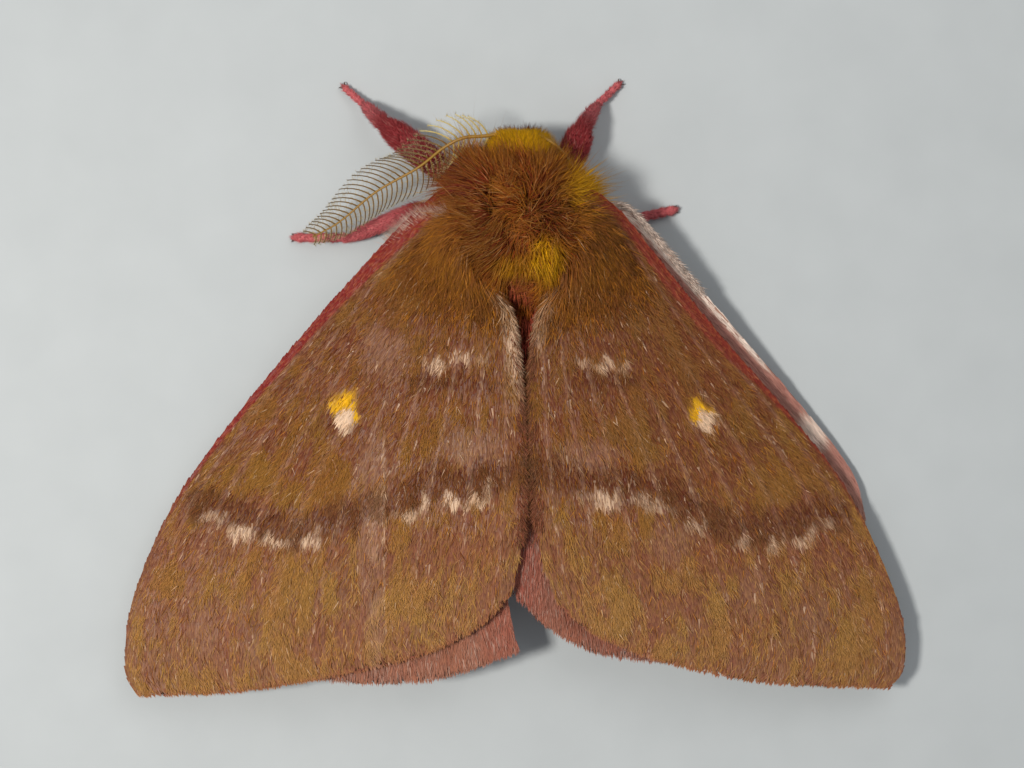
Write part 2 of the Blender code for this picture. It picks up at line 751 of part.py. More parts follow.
def abdomen_rings():
    """Rings that swell at the middle and narrow to the rear, with a groove between segments."""
    front = THORAX_REAR_Y - GAP
    span = front - ABDOMEN_REAR_Y
    rings = []
    total = ABDOMEN_SEGMENTS * RINGS_PER_SEGMENT
    for index in range(total + 1):
        share = index / total
        groove = GROOVE if index % RINGS_PER_SEGMENT == 0 and 0 < index < total else 1.0
        swell = 0.80 + 0.28 * math.sin(math.pi * min(1.0, share * 1.35)) - 0.42 * share**2.2
        centre = Vector((0.0, front - span * share, 3.2 - 0.75 * share**1.5))
        half_wide = ABDOMEN_HALF_WIDE * swell * groove
        half_thick = ABDOMEN_HALF_THICK * swell * groove
        rings.append(ring(centre, Vector((0, -1, 0)), Vector((0, 0, 1)), half_wide, half_thick, 14))
    tip = Vector((0.0, ABDOMEN_REAR_Y - 0.9, 2.4))
    rings.append(ring(tip, Vector((0, -1, 0)), Vector((0, 0, 1)), 0.5, 0.45, 14))
    return loft(rings)


def build_abdomen():
    smooth_shade(new_object("abdomen", mesh_from(abdomen_rings(), "abdomen"), "abdomen"))


def centre_on_footprint():
    """Moves every object so that the origin is the middle of the whole model's base."""
    corners = [v.co for thing in bpy.data.objects for v in thing.data.vertices]
    low = Vector([min(c[i] for c in corners) for i in range(3)])
    high = Vector([max(c[i] for c in corners) for i in range(3)])
    middle = Vector(((low.x + high.x) / 2, (low.y + high.y) / 2, low.z))
    for thing in bpy.data.objects:
        for vertex in thing.data.vertices:
            vertex.co -= middle
    print("moved by", [round(c / MM, 3) for c in middle], "mm")


clear_scene()
build_abdomen()
build_legs()
build_wings()
build_eyes()
build_antennae()
build_head()
build_thorax()
centre_on_footprint()
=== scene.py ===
# %% [markdown]
# # A resting silk moth, life size
# A silk moth at rest folds its wings into a low roof over its back. What makes it look soft is a
# coat: long hair on the thorax, hair-like scales on the wings, short down on the legs. This lesson
# dresses a measured solid model with such a coat. The solid gives the places and sizes, so each
# piece is made where the solid says, and nothing is fitted by eye afterwards.
#
# The solid model is loaded first. The finished moth may not outgrow it.

# %% The measured model
import math

import bmesh
import bpy
import numpy as np
from mathutils import Matrix, Vector


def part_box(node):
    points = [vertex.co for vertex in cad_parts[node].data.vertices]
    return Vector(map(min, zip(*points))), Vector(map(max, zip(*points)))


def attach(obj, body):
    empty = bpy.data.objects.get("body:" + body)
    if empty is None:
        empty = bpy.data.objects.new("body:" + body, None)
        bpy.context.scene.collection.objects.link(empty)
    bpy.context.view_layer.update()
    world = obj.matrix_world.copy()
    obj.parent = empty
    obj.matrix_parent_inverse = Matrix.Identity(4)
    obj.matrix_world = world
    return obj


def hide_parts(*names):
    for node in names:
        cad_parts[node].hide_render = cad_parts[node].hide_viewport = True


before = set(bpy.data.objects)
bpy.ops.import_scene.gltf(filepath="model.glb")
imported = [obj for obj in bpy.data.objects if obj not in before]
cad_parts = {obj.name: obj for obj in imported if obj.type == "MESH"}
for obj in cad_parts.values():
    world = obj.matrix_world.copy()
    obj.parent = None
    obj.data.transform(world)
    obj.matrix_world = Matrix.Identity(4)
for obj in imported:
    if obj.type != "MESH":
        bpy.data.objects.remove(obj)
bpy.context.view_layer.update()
MM = 0.001

# %% [markdown]
# A moth is easiest to describe from its own middle line, with the head to +Y and the feet at
# height 0, in millimetres. The two eyes give that line: it runs half way between them. Every shape
# below is worked out in these moth millimetres and moved to its place in metres at the very end.

# %% The moth's own middle line
EYE_MIDDLE_Y = 14.05


def node_middle(name):
    """The middle of a solid's box, in millimetres."""
    low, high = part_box(name)
    return (low + high) / 2 / MM


left_eye, right_eye = node_middle("eye_left"), node_middle("eye_right")
eyes_x, eyes_y = (left_eye.x + right_eye.x) / 2, (left_eye.y + right_eye.y) / 2
MOTH = Vector((eyes_x, eyes_y - EYE_MIDDLE_Y, 0.0))
print("middle line at, mm:", [round(value, 3) for value in MOTH])

# %% [markdown]
# ## Camera, floor and light
# The moth is seen from straight above, so the camera hangs 150 mm over it and looks down. A long
# lens keeps the wings from bulging. The floor is one plain pale sheet. A lamp high on the
# left gives each hair a lit and a shaded side and throws a crisp shadow to the right, a larger one
# fills the shade, and a pale sky keeps the deepest hair readable.

# %% Camera and light
CAMERA_PLACE = (-0.5, 0.0, 150.0)
CAMERA_LENS, SENSOR_WIDTH = 83.25, 36.0
SEEN_FROM, SEEN_TO = 0.002, 5.0
LAMPS = {
    "key_lamp": {"place": (-78, -8, 190), "size": 26, "watts": 0.36, "tint": (1.0, 0.95, 0.88)},
    "fill_lamp": {"place": (60, 90, 180), "size": 120, "watts": 0.08, "tint": (1.0, 0.96, 0.92)},
}
SKY_COLOUR, SKY_STRENGTH = (0.95, 0.97, 1.0, 1.0), 0.36


def stand(name, data):
    """A new object of the scene, at the origin."""
    thing = bpy.data.objects.new(name, data)
    bpy.context.scene.collection.objects.link(thing)
    return thing


def stand_camera():
    data = bpy.data.cameras.new("camera")
    data.lens, data.sensor_width = CAMERA_LENS, SENSOR_WIDTH
    data.clip_start, data.clip_end = SEEN_FROM, SEEN_TO
    camera = stand("camera", data)
    camera.location = (Vector(CAMERA_PLACE) + MOTH) * MM
    bpy.context.scene.camera = camera


def hang_lamp(name, place, size, watts, tint):
    """A square lamp that looks at the middle of the floor, its place and size in millimetres."""
    data = bpy.data.lights.new(name, "AREA")
    data.size, data.energy, data.color = size * MM, watts, tint
    lamp = stand(name, data)
    lamp.location = Vector(place) * MM
    lamp.rotation_euler = (-Vector(place)).to_track_quat("-Z", "Y").to_euler()


def spread_sky():
    world = bpy.data.worlds.new("pale_sky")
    world.use_nodes = True
    sky = world.node_tree.nodes["Background"].inputs
    sky["Color"].default_value, sky["Strength"].default_value = SKY_COLOUR, SKY_STRENGTH
    bpy.context.scene.world = world


stand_camera()
for name, lamp in LAMPS.items():
    hang_lamp(name, **lamp)
spread_sky()
bpy.context.scene.view_settings.view_transform = "Standard"

# %% [markdown]
# ## Finishes
# A moth has no paint. Its colours are in its scales and hair, and each strand is dark at the root
# and paler at the tip. So one shader node group mixes the moth's colours by masks that ride on the
# mesh, another lights a strand from root to tip, and a third lays fine streaks on the bare skin.
# The masks are called marks: how golden, rosy and pale a place is, and how dark. They are worked
# out from the moth's own measures further down, and skin and coat share them, so a band on the
# wing is under the hair as well as in it. An image could not do that without a camera's view in it.

# %% Node helpers
def tone(red, green, blue):
    """A colour given as 0 to 255 on a screen, in the linear values that a shader wants."""
    shares = (red / 255, green / 255, blue / 255)
    return (*(v / 12.92 if v <= 0.04045 else ((v + 0.055) / 1.055) ** 2.4 for v in shares), 1.0)


def node(tree, kind, inputs=None, **settings):
    """Adds a node. An input is a plain value or another node's output to link from."""
    made = tree.nodes.new(kind)
    for key, value in settings.items():
        setattr(made, key, value)
    for key, value in (inputs or {}).items():
        if isinstance(value, bpy.types.NodeSocket):
            tree.links.new(value, made.inputs[key])
        else:
            made.inputs[key].default_value = value
    return made


MIX_FACTOR, MIX_A, MIX_B, MIX_RESULT = 0, 6, 7, 2


def mix(tree, factor, first, second, way="MIX"):
    """The result of mixing two colours."""
    inputs = {MIX_FACTOR: factor, MIX_A: first, MIX_B: second}
    made = node(tree, "ShaderNodeMix", inputs, data_type="RGBA", blend_type=way)
    return made.outputs[MIX_RESULT]


def sums(tree, how, first, second):
    """The result of one step of arithmetic."""
    made = node(tree, "ShaderNodeMath", {0: first, 1: second}, operation=how)
    return made.outputs[0]


def new_group(name, inputs, outputs):
    """A node group with named sockets, its tree and the two ends inside it."""
    tree = bpy.data.node_groups.new(name, "ShaderNodeTree")
    for label, kind in inputs:
        tree.interface.new_socket(label, in_out="INPUT", socket_type=kind)
    for label, kind in outputs:
        tree.interface.new_socket(label, in_out="OUTPUT", socket_type=kind)
    return tree, tree.nodes.new("NodeGroupInput"), tree.nodes.new("NodeGroupOutput")


def group_node(tree, group, inputs):
    return node(tree, "ShaderNodeGroup", inputs, node_tree=group)


COLOUR, NUMBER, VECTOR = "NodeSocketColor", "NodeSocketFloat", "NodeSocketVector"

# %% Shared groups
PIGMENTS = ("Ground", "Gold", "Rose", "Deep", "Pale", "Bright")


def pigment_group():
    """Mixes six pigments by the marks: gold, rose and pale in a colour, deep and bright alone."""
    inputs = [("Marks", COLOUR), ("Deep mask", NUMBER), ("Bright mask", NUMBER)]
    inputs += [(name, COLOUR) for name in PIGMENTS]
    tree, start, end = new_group("moth_pigments", inputs, [("Colour", COLOUR)])
    parts = node(tree, "ShaderNodeSeparateColor", {"Color": start.outputs["Marks"]})
    masks = {
        "Gold": parts.outputs["Red"],
        "Rose": parts.outputs["Green"],
        "Deep": start.outputs["Deep mask"],
        "Pale": parts.outputs["Blue"],
        "Bright": start.outputs["Bright mask"],
    }
    colour = start.outputs["Ground"]
    for name in PIGMENTS[1:]:
        colour = mix(tree, masks[name], colour, start.outputs[name])
    tree.links.new(colour, end.inputs["Colour"])
    return tree


SHADE_RANGE, DARKEST_SHADE = 0.9, 0.55
TIP_LATENESS = 1.6


def strand_group():
    """Darkens a strand at its root, pales its tip and gives each its own lightness."""
    inputs = [("Colour", COLOUR), ("Shade", NUMBER), ("Along", NUMBER), ("Root", NUMBER)]
    inputs += [("Tip", COLOUR), ("Tip amount", NUMBER)]
    tree, start, end = new_group("strand_light", inputs, [("Colour", COLOUR)])
    own = sums(tree, "MULTIPLY_ADD", start.outputs["Shade"], SHADE_RANGE)
    own.node.inputs[2].default_value = DARKEST_SHADE
    fade = {"Value": start.outputs["Along"], "To Min": start.outputs["Root"], "To Max": 1.0}
    rooted = node(tree, "ShaderNodeMapRange", fade).outputs[0]
    light = sums(tree, "MULTIPLY", own, rooted)
    grey = node(tree, "ShaderNodeCombineColor", {"Red": light, "Green": light, "Blue": light})
    lit = mix(tree, 1.0, start.outputs["Colour"], grey.outputs[0], "MULTIPLY")
    towards_tip = sums(tree, "POWER", start.outputs["Along"], TIP_LATENESS)
    amount = sums(tree, "MULTIPLY", towards_tip, start.outputs["Tip amount"])
    tree.links.new(mix(tree, amount, lit, start.outputs["Tip"]), end.inputs["Colour"])
    return tree


def streak_group():
    """Fine streaks that run along one way of a pattern, as a mask and as a height."""
    inputs = [("Vector", VECTOR), ("Across", NUMBER), ("Along", NUMBER)]
    tree, start, end = new_group("fine_streaks", inputs, [("Mask", NUMBER), ("Height", NUMBER)])
    sizes = {"X": start.outputs["Across"], "Y": start.outputs["Along"], "Z": 1.0}
    factors = {0: start.outputs["Vector"], 1: node(tree, "ShaderNodeCombineXYZ", sizes).outputs[0]}
    stretched = node(tree, "ShaderNodeVectorMath", factors, operation="MULTIPLY").outputs[0]
    pattern = {"Vector": stretched, "Scale": 1.0, "Detail": 4.0, "Roughness": 0.6}
    noise = node(tree, "ShaderNodeTexNoise", pattern)
    contrast = {"Value": noise.outputs["Fac"], "From Min": 0.3, "From Max": 0.7}
    mask = node(tree, "ShaderNodeMapRange", contrast)
    tree.links.new(mask.outputs[0], end.inputs["Mask"])
    tree.links.new(noise.outputs["Fac"], end.inputs["Height"])
    return tree


PIGMENT_GROUP, STRAND_GROUP, STREAK_GROUP = pigment_group(), strand_group(), streak_group()
print("groups:", [tree.name for tree in bpy.data.node_groups])

# %% [markdown]
# Two makers put the groups into materials. A strand finish is for the coat: it reads the marks and
# the strand's own values from the mesh. A skin finish is for what lies under the coat: it reads the
# same marks and adds the streaks, in colour and in bump. Sheen stands for the down that is finer
# than any mesh.

# %% Finish makers
def palette(*tones):
    """The six pigments of a coat, each in screen values."""
    return {name: tone(*values) for name, values in zip(PIGMENTS, tones)}


BROWN_WING = palette(
    (114, 66, 44), (160, 116, 34), (132, 36, 36), (86, 34, 14), (232, 200, 170), (232, 176, 8)
)
PINK_WING = palette(
    (158, 106, 88), (176, 126, 76), (150, 56, 54), (104, 46, 38), (238, 220, 206), (214, 194, 160)
)
THORAX_HAIR = palette(
    (114, 44, 10), (200, 124, 20), (124, 36, 26), (84, 26, 10), (222, 176, 116), (226, 168, 4)
)
ABDOMEN_HAIR = palette(
    (170, 82, 48), (206, 126, 44), (188, 78, 66), (84, 26, 18), (214, 160, 124), (220, 132, 30)
)
LEG_HAIR = palette(
    (142, 38, 42), (204, 120, 98), (220, 116, 120), (96, 20, 26), (226, 168, 156), (196, 120, 60)
)
STRAND_SPECULAR, SKIN_SPECULAR = 0.16, 0.15


def new_material(name):
    made = bpy.data.materials.new(name)
    made.use_nodes = True
    return made, made.node_tree, made.node_tree.nodes["Principled BSDF"]


def set_shader(shader, **values):
    """Sets a shader's own sockets. An underscore stands for the space in a socket's name."""
    for key, value in values.items():
        shader.inputs[key.replace("_", " ").title()].default_value = value


def streaks(tree, across, along, uv=None):
    """The streak pattern over the object's own places, or over one of its maps."""
    if uv:
        place = node(tree, "ShaderNodeUVMap", uv_map=uv).outputs["UV"]
    else:
        place = node(tree, "ShaderNodeTexCoord").outputs["Object"]
    return group_node(tree, STREAK_GROUP, {"Vector": place, "Across": across, "Along": along})


def add_bump(tree, shader, height, strength, depth, **settings):
    """Relief from a height, its depth in millimetres."""
    inputs = {"Strength": strength, "Distance": depth * MM, "Height": height}
    bump = node(tree, "ShaderNodeBump", inputs, **settings)
    tree.links.new(bump.outputs["Normal"], shader.inputs["Normal"])


def pigments(tree, colours, bright):
    """The pigment group fed by the marks of the mesh."""
    marks = node(tree, "ShaderNodeAttribute", attribute_name="marks").outputs
    masks = {"Marks": marks["Color"], "Deep mask": marks["Alpha"], "Bright mask": bright}
    return group_node(tree, PIGMENT_GROUP, {**masks, **colours}).outputs["Colour"]


def strand_finish(name, colours, root, tip, tip_amount, roughness, sheen):
    """A coat's finish: its pigments, its darker roots, and the tone that its tips take."""
    made, tree, shader = new_material(name)
    own = node(tree, "ShaderNodeAttribute", attribute_name="strand").outputs["Color"]
    parts = node(tree, "ShaderNodeSeparateColor", {"Color": own}).outputs
    inputs = {"Colour": pigments(tree, colours, parts["Blue"]), "Shade": parts["Red"]}
    inputs |= {"Along": parts["Green"], "Root": root, "Tip": tip, "Tip amount": tip_amount}
    lit = group_node(tree, STRAND_GROUP, inputs)
    tree.links.new(lit.outputs["Colour"], shader.inputs["Base Color"])
    set_shader(shader, roughness=roughness, sheen_weight=sheen, sheen_roughness=0.4, sheen_tint=tip)
    shader.inputs["Specular IOR Level"].default_value = STRAND_SPECULAR
    return made


def skin_finish(name, colours, across, along, uv=None, depth=0.04):
    """A skin with streaks along its own map, or along the object's Y where it has none."""
    made, tree, shader = new_material(name)
    grain = streaks(tree, across, along, uv).outputs
    colour = pigments(tree, colours, 0.0)
    shaded = mix(tree, 0.55, colour, colours["Deep"])
    tree.links.new(mix(tree, grain["Mask"], shaded, colour), shader.inputs["Base Color"])
    add_bump(tree, shader, grain["Height"], 0.6, depth)
    set_shader(shader, roughness=0.6)
    shader.inputs["Specular IOR Level"].default_value = SKIN_SPECULAR
    return made


# %% The finishes
WING_HAIR = {**BROWN_WING, "Ground": tone(134, 64, 26), "Gold": tone(196, 124, 26)}
VEIL_HAIR = {**BROWN_WING, "Ground": tone(196, 180, 140), "Gold": tone(190, 160, 90)}
# Colours, darkness of the roots, tone of the tips and how much of it, roughness, sheen.
STRAND_FINISHES = {
    "forewing_scales": (BROWN_WING, 0.75, tone(220, 168, 90), 0.2, 0.42, 0.02),
    "forewing_hair": (WING_HAIR, 0.62, tone(218, 158, 72), 0.35, 0.38, 0.02),
    "hindwing_scales": (PINK_WING, 0.8, tone(222, 170, 144), 0.14, 0.45, 0.05),
    "thorax_hair": (THORAX_HAIR, 0.5, tone(214, 150, 58), 0.4, 0.36, 0.02),
    "thorax_down": (THORAX_HAIR, 0.7, tone(150, 74, 24), 0.2, 0.6, 0.0),
    "crest_hair": (THORAX_HAIR, 0.5, tone(236, 186, 30), 0.3, 0.42, 0.05),
    "abdomen_hair": (ABDOMEN_HAIR, 0.6, tone(200, 110, 80), 0.25, 0.5, 0.05),
    "leg_hair": (LEG_HAIR, 0.85, tone(210, 110, 110), 0.22, 0.5, 0.1),
    "antenna_veil": (VEIL_HAIR, 0.9, tone(210, 200, 170), 0.3, 0.5, 0.1),
}
# Colours, streaks to a metre or to the map across and along, map, depth in millimetres.
SKIN_FINISHES = {
    "forewing_skin": (BROWN_WING, 300.0, 34.0, "Wing"),
    "hindwing_skin": (PINK_WING, 260.0, 30.0, "Wing"),
    "body_skin": (THORAX_HAIR, 9000.0, 1500.0, None, 0.05),
    "leg_skin": (LEG_HAIR, 9000.0, 4000.0, None, 0.03),
}
FINISHES = {name: strand_finish(name, *values) for name, values in STRAND_FINISHES.items()}
FINISHES |= {name: skin_finish(name, *values) for name, values in SKIN_FINISHES.items()}
print("finishes:", sorted(FINISHES))

# %% [markdown]
# ## Curves and surfaces
# Skins and coats need the same thing: points on a surface, with the way that the surface faces and
# runs there. A grid of points gives all of it. Wings are grids between their four edges, and a
# body, a leg or a feeler is a grid round its rings. Roots of hair are then scattered over the grid
# by area, so no place is bald. The numbers of the grid also serve as the unwrap on which each
# tuft's own small patch is laid, which follows the skin and not the camera.

# %% Curves
def unit(vectors):
    """Vectors of length one."""
    size = np.linalg.norm(vectors, axis=-1, keepdims=True)
    return vectors / np.maximum(size, 1e-9)


def smooth_path(points, steps=8):
    """A Catmull-Rom curve through the points, with some steps between each two."""
    points = np.array(points, float)
    padded = np.vstack([points[0] * 2 - points[1], points, points[-1] * 2 - points[-2]])
    t = (np.arange(steps) / steps)[:, None]
    curve = []
    for a, b, c, d in zip(padded, padded[1:], padded[2:], padded[3:]):
        linear, square = c - a, 2 * a - 5 * b + 4 * c - d
        curve.append(0.5 * (2 * b + linear * t + square * t**2 + (3 * b - a - 3 * c + d) * t**3))
    return np.vstack([*curve, points[-1:]])


def at_shares(path, shares):
    """The points at shares of a path's length."""
    steps = np.linalg.norm(np.diff(path, axis=0), axis=1)
    length = np.concatenate([[0.0], np.cumsum(steps)])
    return np.stack([np.interp(shares * length[-1], length, axis) for axis in path.T], axis=-1)


def soft_step(low, high, value):
    """Rises smoothly from 0 at low to 1 at high."""
    share = np.clip((value - low) / (high - low), 0.0, 1.0)
    return share * share * (3 - 2 * share)


def soft_noise(x, y, seed):
    """Smooth random values from -1 to 1 over a plane: a seeded lattice, blended."""
    side = 64
    lattice = np.random.default_rng(seed).uniform(-1, 1, (side, side))
    left, below = np.floor(x).astype(int), np.floor(y).astype(int)
    fx, fy = soft_step(0, 1, x - left), soft_step(0, 1, y - below)

    def corner(i, j):
        return lattice[(below + j) % side, (left + i) % side]

    near = corner(0, 0) * (1 - fx) + corner(1, 0) * fx
    far = corner(0, 1) * (1 - fx) + corner(1, 1) * fx
    return near * (1 - fy) + far * fy


# %% Surfaces
class Surface:
    """A grid of points over a skin: s runs across it, t along it, both from 0 to 1."""

    def __init__(self, points, flip=False):
        self.points = points
        across, along = np.gradient(points, axis=1), np.gradient(points, axis=0)
        self.across, self.along = unit(across), unit(along)
        self.normals = unit(np.cross(across, along)) * (-1 if flip else 1)

    def at(self, grid, s, t):
        """A value of the grid between its points."""
        rows, columns = grid.shape[0] - 1, grid.shape[1] - 1
        row = np.clip((t * rows).astype(int), 0, rows - 1)
        column = np.clip((s * columns).astype(int), 0, columns - 1)
        down, right = (t * rows - row)[:, None], (s * columns - column)[:, None]
        near = grid[row, column] * (1 - right) + grid[row, column + 1] * right
        far = grid[row + 1, column] * (1 - right) + grid[row + 1, column + 1] * right
        return near * (1 - down) + far * down

    def value(self, grid, s, t):
        """The same for a grid of single numbers."""
        return self.at(grid[..., None], s, t)[:, 0]

    def scatter(self, count, draw, weight=None):
        """Random roots, as many to each square millimetre, or by a weight."""
        steps_down = self.points[1:, :-1] - self.points[:-1, :-1]
        steps_right = self.points[:-1, 1:] - self.points[:-1, :-1]
        area = np.linalg.norm(np.cross(steps_down, steps_right), axis=-1)
        rows, columns = area.shape
        if weight is not None:
            row, column = np.mgrid[0:rows, 0:columns]
            middle_s = (column.ravel() + 0.5) / columns
            middle_t = (row.ravel() + 0.5) / rows
            area = area * np.clip(weight(middle_s, middle_t), 0, None).reshape(area.shape)
        cells = draw.choice(area.size, count, p=area.ravel() / area.sum())
        s = (cells % columns + draw.random(count)) / columns
        t = (cells // columns + draw.random(count)) / rows
        return s, t


# %% [markdown]
# ## Strands
# A hair is a thin three-sided needle: three points round its root, three where it bends, and one
# tip. A wing's scale is the same without the bend. Ten or four triangles each is little enough for
# tens of thousands of them. They are worked out together as arrays and joined into one mesh,
# because adding them one by one with an operator would take minutes. Every strand also gets a patch
# on the map named OFBake, at its root's place on the skin's own unwrap.

# %% Strands
PATCH = 0.0015
MAP_MARGIN = 0.004
NEEDLE_FACES = {
    1: [(0, 1, 3), (1, 2, 3), (2, 0, 3), (0, 2, 1)],
    2: [
        (0, 1, 4), (0, 4, 3), (1, 2, 5), (1, 5, 4), (2, 0, 3), (2, 3, 5),
        (3, 4, 6), (4, 5, 6), (5, 3, 6), (0, 2, 1),
    ],
}
NEEDLE_TAPER = (1.0, 0.82)


def grow(surface, s, t, lie, length, width, rise, bends=1, sink=0.1, roll=0.0, droop=0.6):
    """The line, side and upper way of each strand that leaves the skin and bends to its lie."""
    root = surface.at(surface.points, s, t)
    normal = unit(surface.at(surface.normals, s, t))
    lie = unit(lie)
    rise = np.broadcast_to(rise, length.shape)[:, None]
    leave = unit(lie * (1 - rise) + normal * rise)
    line = [root - leave * sink]
    if bends == 1:
        line.append(root + leave * length[:, None])
    else:
        line.append(root + leave * 0.45 * length[:, None])
        ends = unit(leave * (1 - droop) + lie * droop)
        line.append(line[1] + ends * 0.55 * length[:, None])
    side = unit(np.cross(leave, normal))
    over = np.cross(side, leave)
    turn = np.broadcast_to(roll, length.shape)[:, None]
    cos, sin = np.cos(turn), np.sin(turn)
    side, over = side * cos + over * sin, over * cos - side * sin
    return {"line": np.stack(line, 1), "side": side, "over": over, "width": width, "s": s, "t": t}


def joined(batches):
    """Several batches of strands as one."""
    return {key: np.concatenate([batch[key] for batch in batches]) for key in batches[0]}


LOWEST = 0.02


def set_values(mesh, label, values):
    """Gives a mesh four numbers for each vertex, under a name that a shader can read."""
    attribute = mesh.attributes.new(label, "FLOAT_COLOR", "POINT")
    attribute.data.foreach_set("color", values.ravel())


def strand_mesh(name, strands, marks, shade, bright=0.0, thick=0.3, smooth=True):
    """One mesh of all the strands, with their marks, their own values and the OFBake map."""
    line, width = strands["line"], strands["width"][:, None]
    count, bends = len(line), line.shape[1] - 1
    corners = []
    for index in range(bends):
        half = strands["side"] * width * NEEDLE_TAPER[index] / 2
        top = strands["over"] * width * NEEDLE_TAPER[index] * thick
        corners += [line[:, index] + half, line[:, index] - half, line[:, index] + top]
    corners.append(line[:, -1])
    verts = np.stack(corners, 1)
    verts[..., 2] = np.maximum(verts[..., 2], LOWEST)
    per = verts.shape[1]
    faces = np.array(NEEDLE_FACES[bends])
    all_faces = (faces[None] + per * np.arange(count)[:, None, None]).reshape(-1, 3)
    place = (verts.reshape(-1, 3) + np.array(MOTH)) * MM
    mesh = bpy.data.meshes.new(name)
    mesh.from_pydata(place.tolist(), [], all_faces.tolist())

    across = np.tile([1.0, -1.0, 0.0], bends).tolist() + [0.0]
    along = np.repeat(np.arange(bends) / bends, 3).tolist() + [1.0]
    offset = np.stack([across, np.array(along) * 2 - 1], -1) * PATCH
    root = np.stack([strands["s"], strands["t"]], -1) * (1 - 2 * MAP_MARGIN) + MAP_MARGIN
    corner_map = (root[:, None] + offset[None]).reshape(-1, 2)[all_faces.ravel()]
    layer = mesh.uv_layers.new(name="OFBake")
    layer.data.foreach_set("uv", corner_map.ravel())

    own = np.ones((count, per, 4))
    own[..., 0] = shade[:, None]
    own[..., 1] = along
    own[..., 2] = np.broadcast_to(bright, (count,))[:, None]
    set_values(mesh, "marks", np.repeat(np.clip(marks, 0, 1), per, 0))
    set_values(mesh, "strand", own)
    if smooth:
        mesh.shade_smooth()
    return mesh


piece_sizes = {}


def settle(mesh, finish, slot, *nodes):
    """Makes a mesh a piece of the moth, with its finish, that stands for some of the solids."""
    piece = stand(mesh.name, mesh)
    mesh.materials.append(finish)
    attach(piece, "root")
    if nodes:
        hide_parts(*nodes)
    mesh.calc_loop_triangles()
    piece_sizes[piece.name] = len(mesh.loop_triangles)
    print(f"{piece.name}: {len(mesh.loop_triangles)} triangles")


def settle_coat(name, finish, slot, strands, marks, shade, nodes, **options):
    mesh = strand_mesh(name, strands, marks, shade, **options)
    settle(mesh, FINISHES[finish], slot, *nodes)


# %% [markdown]
# ## Drawing out a tube
# Bodies, legs, feelers and claws are all rings that follow a line. One circle is made, its rim is
# extruded, and each new rim is moved, turned and scaled to its station: that is how a tube is drawn
# by hand in Blender too. The ends are filled, so the skin is closed.

# %% Tubes
def station(place, along, wide, thick, face=(0.0, 0.0, 1.0)):
    """The matrix that puts a circle of radius one across a direction, at a place."""
    z = Vector(along).normalized()
    x = z.cross(Vector(face)).normalized()
    y = z.cross(x)
    turned = Matrix((x * wide, y * thick, z)).transposed().to_4x4()
    return Matrix.Translation(Vector(place)) @ turned


def line_directions(line):
    """The way a line of points runs at each point."""
    return unit(np.gradient(np.array(line, float), axis=0))


def tube_stations(line, radii, face=(0.0, 0.0, 1.0)):
    return [station(p, w, r, r, face) for p, w, r in zip(line, line_directions(line), radii)]


def drawn_tube(stations, sides):
    """A closed skin, drawn out from one circle through the stations."""
    bm = bmesh.new()
    share = bm.verts.layers.float.new("share")
    rim = bmesh.ops.create_circle(bm, cap_ends=True, segments=sides, radius=1.0)["verts"]
    bmesh.ops.transform(bm, matrix=stations[0], verts=rim)
    edges = bm.edges[:]
    for index, (before, after) in enumerate(zip(stations, stations[1:]), 1):
        grown = bmesh.ops.extrude_edge_only(bm, edges=edges)["geom"]
        rim = [g for g in grown if isinstance(g, bmesh.types.BMVert)]
        fresh = set(rim)
        edges = [g for g in grown if isinstance(g, bmesh.types.BMEdge) and set(g.verts) <= fresh]
        bmesh.ops.transform(bm, matrix=after @ before.inverted(), verts=rim)
        for vertex in rim:
            vertex[share] = index / (len(stations) - 1)
    bmesh.ops.holes_fill(bm, edges=edges)
    bmesh.ops.recalc_face_normals(bm, faces=bm.faces)
    return bm


def tube_surface(stations, columns):
    """The same skin as a surface that strands can grow on."""
    turn = np.linspace(0, 2 * math.pi, columns)
    circle = np.stack([np.cos(turn), np.sin(turn), np.zeros(columns), np.ones(columns)])
    rows = [(np.array(matrix) @ circle)[:3].T for matrix in stations]
    return Surface(np.stack(rows))


def gathered(parts):
    """Several small meshes as one."""
    whole = bmesh.new()
    for part in parts:
        mesh = bpy.data.meshes.new("part")
        part.to_mesh(mesh)
        part.free()
        whole.from_mesh(mesh)
        bpy.data.meshes.remove(mesh)
    return whole


def skin_mesh(bm, name):
    """The finished mesh of a skin, on the floor or above it, in its place and in metres."""
    for vertex in bm.verts:
        vertex.co.z = max(0.0, vertex.co.z)
    bmesh.ops.translate(bm, vec=MOTH, verts=bm.verts)
    bmesh.ops.scale(bm, vec=(MM, MM, MM), verts=bm.verts)
    mesh = bpy.data.meshes.new(name)
    bm.to_mesh(mesh)
    bm.free()
    mesh.shade_smooth()
    return mesh


def mark_skin(mesh, marks):
    set_values(mesh, "marks", np.clip(marks, 0, 1))


def skin_values(mesh, name):
    """The numbers that a skin carries under a name, one for each vertex."""
    values = np.zeros(len(mesh.vertices))
    mesh.attributes[name].data.foreach_get("value", values)
    return values


def skin_places(mesh):
    """A skin's vertices in moth millimetres."""
    places = np.zeros(len(mesh.vertices) * 3)
    mesh.vertices.foreach_get("co", places)
    return places.reshape(-1, 3) / MM - np.array(MOTH)


# %% [markdown]
# ## The body
# Head, thorax and abdomen are one skin, so that no seam can open between them. Its profile comes
# from three egg shapes that melt into each other: at each place along the body the widest counts
# most. The abdomen also has a shallow groove between its segments. The skin lies just inside the
# solids, and the coat fills the rest.

